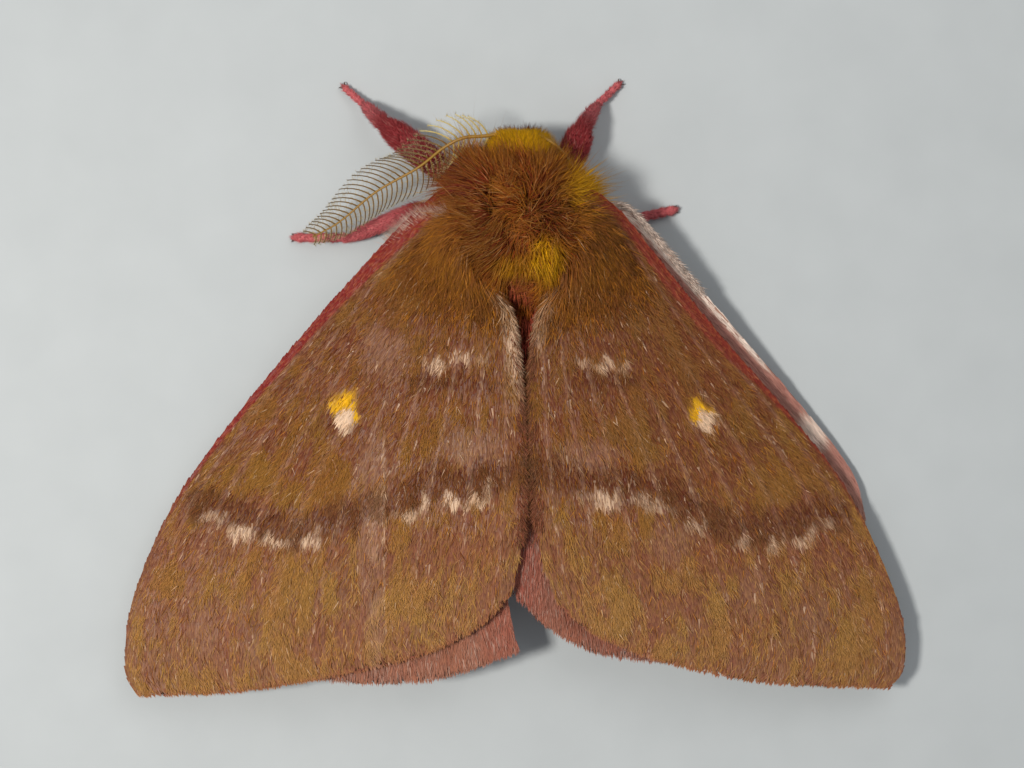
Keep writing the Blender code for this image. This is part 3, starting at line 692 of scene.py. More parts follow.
# %% Body skin
THORAX_MIDDLE, THORAX_HALF, THORAX_POWER = (9.2, 4.75), (3.55, 4.4, 3.05), 2.4
HEAD_MIDDLE, HEAD_HALF = (13.95, 4.4), (1.5, 1.15, 1.7)
ABDOMEN_FRONT, ABDOMEN_REAR, ABDOMEN_TIP = 5.3, -10.6, -11.45
ABDOMEN_WIDE, ABDOMEN_THICK = 2.85, 2.5
SEGMENTS = 7
SKIN_DEPTH = 0.12


def body_profile(y):
    """Height of the middle, half width and half thickness of the body at a place along it."""
    share = np.clip((ABDOMEN_FRONT - y) / (ABDOMEN_FRONT - ABDOMEN_REAR), 0, 1.056)
    swell = 0.80 + 0.28 * np.sin(np.pi * np.minimum(1.0, share * 1.35)) - 0.42 * share**2.2
    swell = swell * np.sqrt(np.clip((y - ABDOMEN_TIP) / 0.9, 0.02, 1))
    swell = swell * np.sqrt(np.clip((7.5 - y) / 2.2, 0, 1))
    seam = np.abs((share * SEGMENTS + 0.5) % 1 - 0.5)
    swell = swell * (1 - 0.05 * np.exp(-((seam / 0.12) ** 2)))
    parts = [(3.2 - 0.75 * share**1.5, ABDOMEN_WIDE * swell, ABDOMEN_THICK * swell)]
    for (middle_y, middle_z), half, power in (
        (THORAX_MIDDLE, THORAX_HALF, THORAX_POWER),
        (HEAD_MIDDLE, HEAD_HALF, 2.0),
    ):
        left = np.clip(1 - np.abs((y - middle_y) / half[1]) ** power, 0, 1) ** (1 / power)
        parts.append((middle_z + 0 * y, half[0] * left, half[2] * left))
    weights = [wide**4 + 1e-9 for _, wide, _ in parts]
    height = sum(w * part[0] for w, part in zip(weights, parts)) / sum(weights)
    wide = sum(part[1] ** 4 for part in parts) ** 0.25
    thick = sum(part[2] ** 4 for part in parts) ** 0.25
    return height, np.maximum(wide - SKIN_DEPTH, 0.05), np.maximum(thick - SKIN_DEPTH, 0.05)


BODY_RINGS = 110


def body_stations():
    """Rings down the body, closer together at both ends, where it rounds off."""
    shares = 0.5 - 0.5 * np.cos(np.linspace(0.06, np.pi - 0.06, BODY_RINGS))
    y = ABDOMEN_TIP + (HEAD_MIDDLE[0] + HEAD_HALF[1] - 0.02 - ABDOMEN_TIP) * shares
    height, wide, thick = body_profile(y)
    return [station((0, a, b), (0, 1, 0), c, d) for a, b, c, d in zip(y, height, wide, thick)]


BODY_STATIONS = body_stations()
BODY = tube_surface(BODY_STATIONS, 97)
print("body surface:", BODY.points.shape, "from", BODY.points.min((0, 1)).round(2))

# %% [markdown]
# The body's marks are worked out for any place seen from above: warm gold on the flanks, a dark
# patch at the left shoulder, a bright spot at the rear of the thorax and a bright brow. The
# abdomen is dark red with an orange band at the end of each segment.

# %% Body marks
def blotch(x, y, middle_x, middle_y, half_x, half_y):
    """A soft-edged oval mask."""
    away = ((x - middle_x) / half_x) ** 2 + ((y - middle_y) / half_y) ** 2
    return np.exp(-(away**2))


def rear_wedge(x, y):
    """Where the red of the abdomen begins, between the wings right behind the thorax."""
    return soft_step(1.05, 0.65, np.abs(x - 0.1)) * soft_step(7.0, 6.5, y)


BELLY_Z = 4.0
# Places, half sizes and strengths of the patches on the thorax.
THORAX_PATCHES = {
    "deep": [(-3.7, 12.1, 1.3, 1.8, 0.6), (-2.0, 9.0, 1.6, 2.3, 0.85), (1.7, 10.4, 1.4, 1.8, 0.55)],
    "rose": [(-3.7, 12.1, 1.3, 1.8, 0.7)],
    "bright": [
        (4.2, 12.0, 1.6, 1.7, 1.1), (1.6, 7.6, 1.0, 1.15, 1.2), (-0.4, 7.2, 1.1, 0.6, 0.5),
        (-5.4, 11.8, 0.75, 0.75, 0.9),
    ],
}


def patches(x, y, name):
    return sum(strength * blotch(x, y, *oval) for *oval, strength in THORAX_PATCHES[name])


def thorax_marks(x, y, z, draw):
    """Marks of the hair at a place of the thorax, with how bright yellow it is."""
    tuft = soft_noise(x * 2.3 + 9, y * 2.3 + 3, 4) * 0.5 + soft_noise(x * 5 + 1, y * 5, 5) * 0.3
    own = draw.random(len(x))
    flank = soft_step(1.6, 4.4, np.abs(x + 0.2))
    rear = soft_step(9.0, 6.5, y)
    share = 0.3 + 0.3 * flank + 0.15 * rear + 0.4 * tuft
    gold = np.where(own < share, 0.7 + 0.3 * draw.random(len(x)), 0.12)
    deep = patches(x, y, "deep") + 0.4 * (z < BELLY_Z)
    rose = 0.25 + 0.3 * soft_noise(x * 0.9 + 5, y * 0.9 + 7, 6) + patches(x, y, "rose")
    pale = 0.35 * (draw.random(len(x)) > 0.93)
    wedge = rear_wedge(x, y)
    gold = gold * (1 - 0.85 * np.clip(deep, 0, 1)) * (1 - wedge)
    rose = np.maximum(rose, wedge)
    bright = patches(x, y, "bright") * (1 - wedge) * (0.95 + 0.6 * tuft)
    return np.stack([gold, rose, pale, deep], -1), np.clip(bright, 0, 1)


def abdomen_marks(x, y, draw):
    share = (ABDOMEN_FRONT - y) / (ABDOMEN_FRONT - ABDOMEN_REAR)
    band = soft_step(0.55, 0.95, (share * SEGMENTS) % 1)
    gold = 0.25 * band + 0.2 * (draw.random(len(x)) - 0.4)
    rose = 0.6 + 0.3 * soft_noise(x * 1.2, y * 1.2, 12) + 0.4 * soft_step(3.5, 1.0, y)
    deep = 0.3 * (1 - band) * draw.random(len(x))
    bright = 0.85 * blotch(x, y, 0.2, 4.5, 0.5, 0.45)
    return np.stack([gold, rose, 0 * x, deep], -1), bright


def place_body_skin():
    mesh = skin_mesh(drawn_tube(BODY_STATIONS, 48), "body_skin")
    places, draw = skin_places(mesh), np.random.default_rng(1)
    x, y, z = places.T
    marks = thorax_marks(x, y, z, draw)[0] * 0.6
    marks[:, 3] = 0.7
    rear = abdomen_marks(x, y, draw)[0]
    mask = soft_step(6.2, 5.2, y)[:, None]
    mark_skin(mesh, marks * (1 - mask) + rear * mask)
    settle(mesh, FINISHES["body_skin"], "coat", "thorax", "head", "abdomen")


place_body_skin()

# %% [markdown]
# ## Thorax coat
# The hair of the thorax points forward at the collar, outward on the flanks, and at the rear back
# over the roots of the wings. It is tousled: on the back no way wins, tufts lean together by a slow
# noise, each strand leans its own way too, and some long loose strands lie across all of it. Short
# dark down fills the depth. Combing particle hair would give the same look on screen, but a part
# for other scenes needs real mesh.

# %% Thorax coat
COAT_MIDDLE_Y, WHORL_RADIUS = 10.2, 2.2


def body_lie(x, y, z, draw, tousle):
    """The way the thorax's hair lies: outward, weakly so in the middle, with shared disorder."""
    level = np.where(z > THORAX_MIDDLE[1], 0.1 - 0.22 * soft_step(1.5, 3.2, np.abs(x)), -0.5)
    away = np.stack([x, y - COAT_MIDDLE_Y], -1) / WHORL_RADIUS
    far = np.linalg.norm(away, axis=-1, keepdims=True)
    away = away / np.maximum(far, 0.1) * soft_step(0.35, 1.4, far)
    lie = np.stack([away[:, 0], away[:, 1] - 0.2, level], -1)
    for scale, amount, seed in ((0.8, 0.9, 20), (2.3, 0.8, 24)):
        ways = [soft_noise(x * scale + k, y * scale + 2 * k, seed + k) for k in range(3)]
        lie = lie + np.stack(ways, -1) * np.array([1.0, 1.0, 0.3]) * amount * tousle
    return lie + draw.normal(0, 0.2, lie.shape) * tousle


def thorax_coat(name, count, seed, where, length, width, rise, finish="thorax_hair", tousle=0.8):
    """One layer of the thorax's hair, with its mean length and width and how far it stands up."""
    draw = np.random.default_rng(seed)
    s, t = BODY.scatter(count, draw, where)
    x, y, z = BODY.at(BODY.points, s, t).T
    lie = body_lie(x, y, z, draw, tousle)
    flank = soft_step(1.6, 3.2, np.abs(x)) * soft_step(3.6, 4.6, z)
    lengths = length * draw.uniform(0.65, 1.2, count) * (1 + 0.4 * flank)
    lengths *= 1 + 0.65 * blotch(x, y, -3.2, 12.9, 1.6, 1.6)
    lengths *= np.where(z > 3.5, 1.0, 0.65) * (1 - 0.75 * rear_wedge(x, y - 0.35))
    rises = np.clip(rise + 0.15 * draw.normal(0, 1, count) - 0.2 * flank, 0.1, 0.8)
    widths = width * draw.uniform(0.7, 1.3, count)
    roll = draw.uniform(-0.6, 0.6, count)
    form = {"bends": 2, "sink": 0.15, "roll": roll, "droop": 0.8}
    strands = grow(BODY, s, t, lie, lengths, widths, rises, **form)
    marks, bright = thorax_marks(*strands["line"][:, 1].T, draw)
    if finish == "thorax_down":
        marks[:, 0] *= 0.25
    bright = bright * (draw.random(count) > 0.1)
    shade = np.clip(draw.normal(0.5, 0.24, count), 0, 1)
    settle_coat(name, finish, "coat", strands, marks, shade, ["thorax"], bright=bright)


def body_y(t):
    """The place along the body at a share of its surface."""
    line = BODY.points[:, 0, 1]
    return np.interp(t * (len(line) - 1), np.arange(len(line)), line)


def facing_up(s):
    """1 on the body's back, 0 on its flanks and -1 on its belly."""
    return -np.sin(s * 2 * math.pi)


def upper_thorax(s, t):
    y = body_y(t)
    return soft_step(-0.55, 0.1, facing_up(s)) * soft_step(5.2, 5.9, y) * soft_step(13.4, 13.0, y)


def lower_thorax(s, t):
    y = body_y(t)
    return soft_step(-0.1, 0.45, -facing_up(s)) * soft_step(5.0, 5.6, y) * soft_step(13.6, 13.0, y)


UPPER_LAYERS = {
    "thorax_coat": {"count": 12500, "seed": 31, "length": 1.8, "width": 0.042, "rise": 0.42},
    "thorax_loose_hair": {
        "count": 3500, "seed": 34, "length": 2.4, "width": 0.04, "rise": 0.42, "tousle": 1.7,
    },
    "thorax_down": {
        "count": 13500, "seed": 32, "length": 1.4, "width": 0.085, "rise": 0.5,
        "finish": "thorax_down",
    },
}
BELLY_LAYER = {"count": 4000, "seed": 33, "length": 1.5, "width": 0.09, "rise": 0.35}
for name, layer in UPPER_LAYERS.items():
    thorax_coat(name, where=upper_thorax, **layer)
thorax_coat("thorax_belly_coat", where=lower_thorax, **BELLY_LAYER)

# %% [markdown]
# ## Head, crest and eyes
# Over the brow stands a short brush of bright yellow hair that fans forward. The face below it is
# covered with darker hair, and from it stick two short palps. The eyes are large, dark and finely
# faceted, and sit deep in the hair. A ball from an icosphere has no poles, so its facets look the
# same from every side.

# %% Crest and face
CREST_STRANDS, FACE_STRANDS = 6500, 4800


def crest_coat():
    draw, count = np.random.default_rng(41), CREST_STRANDS

    def where(s, t):
        return soft_step(13.3, 13.6, body_y(t)) * soft_step(0.1, 0.5, facing_up(s))

    s, t = BODY.scatter(count, draw, where)
    x, y, z = BODY.at(BODY.points, s, t).T
    zero = np.zeros(count)
    lie = np.stack([0.6 * x, 0.8 + zero, 0.15 + zero], -1) + draw.normal(0, 0.25, (count, 3))
    lengths = (1.0 + 0.3 * np.abs(x)) * draw.uniform(0.6, 1.1, count)
    lengths = np.maximum(lengths * soft_step(15.4, 14.2, y - 0.3), 0.4)
    rises = draw.uniform(0.45, 0.75, count)
    widths = draw.uniform(0.035, 0.065, count)
    roll = draw.uniform(-0.5, 0.5, count)
    strands = grow(BODY, s, t, lie, lengths, widths, rises, bends=2, sink=0.15, roll=roll)
    gold = 0.5 + 0.4 * draw.random(count)
    marks = np.stack([gold, zero, zero, 0.6 * (draw.random(count) > 0.8)], -1)
    bright = (0.6 + 0.4 * draw.random(count)) * soft_step(4.3, 5.0, z)
    shade = np.clip(draw.normal(0.42, 0.28, count), 0, 1)
    settle_coat("crest_coat", "crest_hair", "crest", strands, marks, shade, ["head"], bright=bright)


def face_coat():
    draw, count = np.random.default_rng(42), FACE_STRANDS

    def where(s, t):
        return soft_step(12.9, 13.4, body_y(t)) * soft_step(0.4, 0.05, facing_up(s))

    s, t = BODY.scatter(count, draw, where)
    x, _, z = BODY.at(BODY.points, s, t).T
    zero = np.zeros(count)
    lie = np.stack([0.6 * x, 0.8 + zero, -0.25 + 0.4 * (z - 4.4)], -1)
    lie = lie + draw.normal(0, 0.22, (count, 3))
    lengths = 1.15 * draw.uniform(0.6, 1.15, count)
    widths, rises = draw.uniform(0.035, 0.06, count), draw.uniform(0.3, 0.6, count)
    roll = draw.uniform(-0.5, 0.5, count)
    strands = grow(BODY, s, t, lie, lengths, widths, rises, bends=2, sink=0.12, roll=roll)
    gold = 0.3 * draw.random(count)
    marks = np.stack([gold, 0.3 + zero, zero, 0.55 + 0.3 * draw.random(count)], -1)
    settle_coat("face_coat", "thorax_down", "coat", strands, marks, draw.random(count), ["head"])


crest_coat()
face_coat()

# %% Eyes and palps
EYE_RADIUS, EYE_SHAPE = 0.92, (0.85, 1.0, 1.05)
EYE_OUT, EYE_FORWARD, EYE_DOWN = 1.55, 0.1, 0.15
PALP_STRANDS = 700


def eye_finish():
    """Dark and glossy, with facets as a bump."""
    made, tree, shader = new_material("eye")
    place = node(tree, "ShaderNodeTexCoord").outputs["Object"]
    cells = {"Vector": place, "Scale": 14000.0}
    facets = node(tree, "ShaderNodeTexVoronoi", cells, feature="F1").outputs["Distance"]
    ramp = node(tree, "ShaderNodeMapRange", {"Value": facets, "From Max": 0.9})
    colour = mix(tree, ramp.outputs[0], tone(46, 26, 20), tone(16, 9, 8))
    tree.links.new(colour, shader.inputs["Base Color"])
    add_bump(tree, shader, facets, 0.5, 0.02, invert=True)
    set_shader(shader, roughness=0.22, coat_weight=0.5, coat_roughness=0.08)
    return made


def place_eyes():
    finish = eye_finish()
    for side, name in ((-1, "left"), (1, "right")):
        bm = bmesh.new()
        bmesh.ops.create_icosphere(bm, subdivisions=4, radius=EYE_RADIUS)
        bmesh.ops.scale(bm, vec=EYE_SHAPE, verts=bm.verts)
        middle = (side * EYE_OUT, HEAD_MIDDLE[0] + EYE_FORWARD, HEAD_MIDDLE[1] - EYE_DOWN)
        bmesh.ops.translate(bm, vec=Vector(middle), verts=bm.verts)
        settle(skin_mesh(bm, f"eye_{name}_ball"), finish, "eye", f"eye_{name}")


def place_palps():
    parts, batches = [], []
    draw = np.random.default_rng(43)
    for side in (-1, 1):
        start = np.array([0.4 * side, HEAD_MIDDLE[0] + 0.45, HEAD_MIDDLE[1] - 1.1])
        steps = np.array([(0, 0, 0), (0.1 * side, 0.55, -0.1), (0.12 * side, 0.95, 0.15)])
        line = smooth_path(start + steps, 4)
        shares = np.linspace(0, 1, len(line))
        radii = np.interp(shares, [0, 0.6, 0.95, 1], [0.24, 0.24, 0.15, 0.04])
        stations = tube_stations(line, radii, face=(1, 0, 0))
        parts.append(drawn_tube(stations, 12))
        surface = tube_surface(stations, 25)
        s, t = surface.scatter(PALP_STRANDS, draw)
        lie = surface.at(surface.along, s, t) + draw.normal(0, 0.2, (PALP_STRANDS, 3))
        size = draw.uniform(0.3, 0.5, PALP_STRANDS)
        rises = draw.uniform(0.15, 0.4, PALP_STRANDS)
        strand = grow(surface, s, t, lie, size, size * 0.13, rises, bends=1, sink=0.05)
        strand["s"] = s * 0.45 + (0.5 if side > 0 else 0.0)
        batches.append(strand)
    mesh = skin_mesh(gathered(parts), "palps")
    mark_skin(mesh, np.tile([0.0, 0.4, 0.0, 0.2], (len(mesh.vertices), 1)))
    settle(mesh, FINISHES["leg_skin"], "leg", "head")
    strands = joined(batches)
    count = len(strands["width"])
    marks = np.tile([0.1, 0.4, 0.0, 0.3], (count, 1))
    settle_coat("palp_down", "leg_hair", "leg", strands, marks, draw.random(count), ["head"])


place_eyes()
place_palps()

# %% [markdown]
# ## Abdomen coat
# Mostly hidden under the wings, the abdomen shows as a red wedge between them and from behind.
# Its hair is short and lies flat towards the rear, and stands higher where the wings leave a gap.

# %% Abdomen coat
ABDOMEN_STRANDS = 7000


def abdomen_coat():
    draw, count = np.random.default_rng(51), ABDOMEN_STRANDS

    def where(s, t):
        y, back = body_y(t), soft_step(0.7, 0.97, facing_up(s))
        gap = back * soft_step(7.0, 6.6, y) * soft_step(-5.0, -1.0, y)
        return soft_step(6.0, 5.0, y) + 3.0 * gap

    s, t = BODY.scatter(count, draw, where)
    x, y, z = BODY.at(BODY.points, s, t).T
    middle = soft_step(1.7, 0.9, np.abs(x)) * (z > 4) * soft_step(-6.0, -3.0, y)
    level = -0.04 * (z - 3) + 0.3 * middle * soft_step(4.5, 2.5, y)
    lie = np.stack([0.12 * x, -1.0 + 0 * x, level], -1) + draw.normal(0, 0.14, (count, 3))
    lengths = draw.uniform(0.6, 1.0, count) * (1 + middle * soft_step(6.2, 4.0, y))
    rises = draw.uniform(0.1, 0.3, count) + 0.32 * middle * soft_step(6.4, 4.4, y)
    widths, roll = draw.uniform(0.05, 0.085, count), draw.uniform(-0.5, 0.5, count)
    strands = grow(BODY, s, t, lie, lengths, widths, rises, bends=2, sink=0.1, roll=roll)
    marks, bright = abdomen_marks(*strands["line"][:, 1, :2].T, draw)
    shade = np.clip(draw.normal(0.55, 0.2, count), 0, 1)
    settle_coat(
        "abdomen_coat", "abdomen_hair", "abdomen", strands, marks, shade, ["abdomen"], bright=bright
    )


abdomen_coat()

# %% [markdown]
# ## Wings
# At rest the four wings lie as two layers on a low roof: the hindwings below, the forewings above.
# Each wing is a sheet between four edges seen from above: the front edge, the outer edge, the inner
# edge and the root. A Coons patch blends the four edges into a grid, and the roof gives each point
# its height. The same numbers as in the solid model are used, so the sheets lie inside the solids.

# %% The roof
RIDGE_Z, RIDGE_DROP, RIDGE_DROP_Y = 6.45, 1.7, -9.0
EAVE_Z, EAVE_RISE, EAVE_RISE_Y, EAVE_SPAN = 1.1, 2.9, -5.0, 16.0
ROOF_HALF_WIDTH, ROOF_NARROWING, ROOF_WIDEST_Y, ROOF_LENGTH = 26.0, 18.9, -16.0, 27.0
LAYER_STEP = 0.88
SHEET_THICK = 0.16


def roof_height(x, y):
    """Height of the hindwings' middle over the floor."""
    back = np.maximum(0.0, (y - ROOF_WIDEST_Y) / ROOF_LENGTH)
    half_width = ROOF_HALF_WIDTH - ROOF_NARROWING * back**1.25
    ridge = RIDGE_Z - RIDGE_DROP * np.maximum(0.0, (RIDGE_DROP_Y - y) / 9.0)
    eave = EAVE_Z + EAVE_RISE * np.maximum(0.0, (y - EAVE_RISE_Y) / EAVE_SPAN) ** 1.5
    share = np.minimum(1.12, np.abs(x) / half_width)
    return eave + (ridge - eave) * (1 - share**1.7)


def on_roof(plan, lift):
    """Points a lift over the roof, square to it, but right above their place in the plan."""
    x, y = plan[..., 0], plan[..., 1]
    step = 0.05
    slope_x = (roof_height(x + step, y) - roof_height(x - step, y)) / (2 * step)
    slope_y = (roof_height(x, y + step) - roof_height(x, y - step)) / (2 * step)
    steepness = np.sqrt(1 + slope_x**2 + slope_y**2)
    return np.stack([x, y, roof_height(x, y) + lift * steepness], -1)


# %% [markdown]
# The edges are read from the moth seen from above. The veins are given by where they meet the outer
# edge, from the front edge (0) to the inner edge (1), and by where on the wing's length they leave
# the cell in its middle.

# %% Edges and veins
WINGS = {
    "forewing_left": {
        "side": -1,
        "base": (11.9, 7.6),
        "costa": [
            (-4.2, 12.1), (-5.5, 11.3), (-9.4, 7.5), (-15.8, 0.3), (-21.1, -6.6), (-24.0, -13.0),
            (-24.6, -17.6), (-23.8, -19.4),
        ],
        "outer": [(-23.8, -19.4), (-16.8, -18.9), (-7.7, -17.0), (-2.9, -15.0), (-0.5, -12.7)],
        "inner": [(-2.2, 6.0), (-0.7, 4.6), (-0.1, 1.0), (0.3, -5.0), (0.1, -9.2), (-0.5, -12.7)],
    },
    "forewing_right": {
        "side": 1,
        "base": (11.8, 7.6),
        "costa": [
            (4.3, 11.8), (5.7, 10.9), (6.8, 9.75), (8.2, 8.0), (10.6, 5.05), (13.15, 2.1),
            (16.3, -1.4), (20.3, -6.5), (23.4, -13.2), (23.95, -17.2), (23.0, -18.9),
        ],
        "outer": [(23.0, -18.9), (14.6, -18.3), (8.0, -16.7), (4.4, -15.1), (2.2, -13.2)],
        "inner": [(2.6, 6.0), (1.3, 4.6), (0.7, 1.0), (0.75, -5.0), (1.2, -9.8), (2.2, -13.2)],
    },
    "hindwing_left": {
        "side": -1,
        "base": (9.6, 6.5),
        "costa": [(-5.6, 9.3), (-9.0, 6.2), (-15.6, -1.1), (-20.1, -7.2), (-21.7, -11.0)],
        "outer": [(-21.7, -11.0), (-19.8, -15.8), (-13.5, -18.1), (-6.0, -18.3), (-0.1, -16.4)],
        "inner": [
            (-3.0, 4.6), (-1.6, 2.0), (-0.9, -4.0), (-0.8, -10.5), (-0.7, -13.6), (-0.1, -16.4),
        ],
    },
    "hindwing_right": {
        "side": 1,
        "base": (9.8, 6.5),
        "costa": [(5.2, 11.0), (7.0, 10.6), (11.3, 5.8), (17.6, -1.3), (20.8, -5.4), (21.7, -8.4)],
        "outer": [
            (21.7, -8.4), (19.6, -14.2), (13.5, -17.0), (6.0, -16.8), (2.3, -15.3), (-0.3, -13.0),
        ],
        "inner": [(3.2, 4.6), (1.6, 2.0), (0.2, -2.0), (-0.25, -8.2), (-0.3, -13.0)],
    },
}
VEINS = {
    "forewing": [
        (0.05, 0.0), (0.13, 0.0), (0.25, 0.38), (0.36, 0.42), (0.47, 0.42), (0.58, 0.36),
        (0.70, 0.0), (0.82, 0.22), (0.93, 0.0),
    ],
    "hindwing": [(0.06, 0.0), (0.22, 0.0), (0.40, 0.35), (0.55, 0.38), (0.70, 0.0), (0.88, 0.0)],
}
VEIN_RAISE, VEIN_HALF_WIDTH = 0.06, 0.009
BASE_DEPTH = 0.5


def vein_relief(u, v, veins):
    """How far the veins lift the wing at a place of its own grid."""
    lift = np.zeros(np.broadcast(u, v).shape)
    for place, start in veins:
        ridge = np.exp(-(((u - place) / VEIN_HALF_WIDTH) ** 2))
        lift = np.maximum(lift, ridge * soft_step(start, start + 0.06, v))
    return lift * VEIN_RAISE * (1 - 0.6 * v)


def wing_plan(wing, rows, columns):
    """The wing's places seen from above, from the front edge to the inner one and root to tip."""
    front, rear = wing["base"]
    u, v = np.linspace(0, 1, columns), np.linspace(0, 1, rows) ** 1.15
    base_y = front + (rear - front) * u
    away = np.abs((base_y - THORAX_MIDDLE[0]) / THORAX_HALF[1])
    left = np.clip(1 - away**THORAX_POWER, 0, 1)
    base_x = wing["side"] * (THORAX_HALF[0] * left ** (1 / THORAX_POWER) - BASE_DEPTH)
    base = np.stack([base_x, base_y], -1)
    costa = at_shares(np.vstack([base[:1], smooth_path(wing["costa"])]), v)[:, None]
    inner = at_shares(np.vstack([base[-1:], smooth_path(wing["inner"])]), v)[:, None]
    outer = at_shares(smooth_path(wing["outer"]), u)[None]
    u, v, base = u[None, :, None], v[:, None, None], base[None]
    corners = (base[:, :1] * (1 - u) + base[:, -1:] * u) * (1 - v)
    corners = corners + (outer[:, :1] * (1 - u) + outer[:, -1:] * u) * v
    return costa * (1 - u) + inner * u + base * (1 - v) + outer * v - corners


# %% Wing surfaces
CREASE_X, CREASE_TOP, CREASE_DEPTH = -8.25, -2.5, 0.14
GRID_SIZES = {"forewing": (71, 161), "hindwing": (61, 101)}
EDGE_ROLL, EDGE_ROLL_WIDTH = 0.12, 0.012


def kind_of(name):
    """The part of a name before its side."""
    return name.split("_")[0]


def wing_surface(name):
    """The upper face of a wing, and how far each place of it is from the wing's edges."""
    wing, kind = WINGS[name], kind_of(name)
    rows, columns = GRID_SIZES[kind]
    plan = wing_plan(wing, rows, columns)
    u, v = np.linspace(0, 1, columns)[None], np.linspace(0, 1, rows)[:, None]
    lift = (LAYER_STEP if kind == "forewing" else 0.0) + SHEET_THICK / 2
    lift = lift + vein_relief(u, v, VEINS[kind])
    lift = lift + EDGE_ROLL * np.exp(-((u / EDGE_ROLL_WIDTH) ** 2)) * (1 - v)
    if name == "forewing_left":
        fold = np.exp(-np.abs(plan[..., 0] - CREASE_X) / 0.5)
        lift = lift - CREASE_DEPTH * fold * soft_step(CREASE_TOP, CREASE_TOP - 3, plan[..., 1])
    surface = Surface(on_roof(plan, lift), flip=wing["side"] < 0)
    steps = np.linalg.norm(np.diff(plan, axis=1), axis=-1)
    surface.from_costa = np.concatenate([np.zeros((rows, 1)), np.cumsum(steps, 1)], 1)
    surface.from_inner = surface.from_costa[:, -1:] - surface.from_costa
    steps = np.linalg.norm(np.diff(plan, axis=0), axis=-1)
    run = np.concatenate([np.zeros((1, columns)), np.cumsum(steps, 0)], 0)
    surface.from_outer = run[-1:] - run
    surface.name = name
    return surface


SURFACES = {name: wing_surface(name) for name in WINGS}
for name, surface in SURFACES.items():
    low, high = surface.points.min((0, 1)).round(1), surface.points.max((0, 1)).round(1)
    print(name, "from", low.tolist(), "to", high.tolist())


def wing_facts(surface, s, t):
    """Place seen from above and distances from the edges, for places on a wing."""
    x, y, _ = surface.at(surface.points, s, t).T
    edges = {"costa": surface.from_costa, "inner": surface.from_inner, "outer": surface.from_outer}
    away = {label: surface.value(grid, s, t) for label, grid in edges.items()}
    return {"x": x, "y": y, "u": s, "v": t, **away}


# %% [markdown]
# ## Markings of the wings
# The ground is a dusty red-brown, strewn with golden hair that gathers in streaks along the veins.
# A crimson stripe runs down the front edge. Two lines cross the forewing: a short dark bar with a
# white upper edge near the root, and further out a dark band with white crescents under it. A
# yellow and white spot lies at the end of the cell. The two forewings aren't spread alike, so each
# has its own places for these, as on the animal.

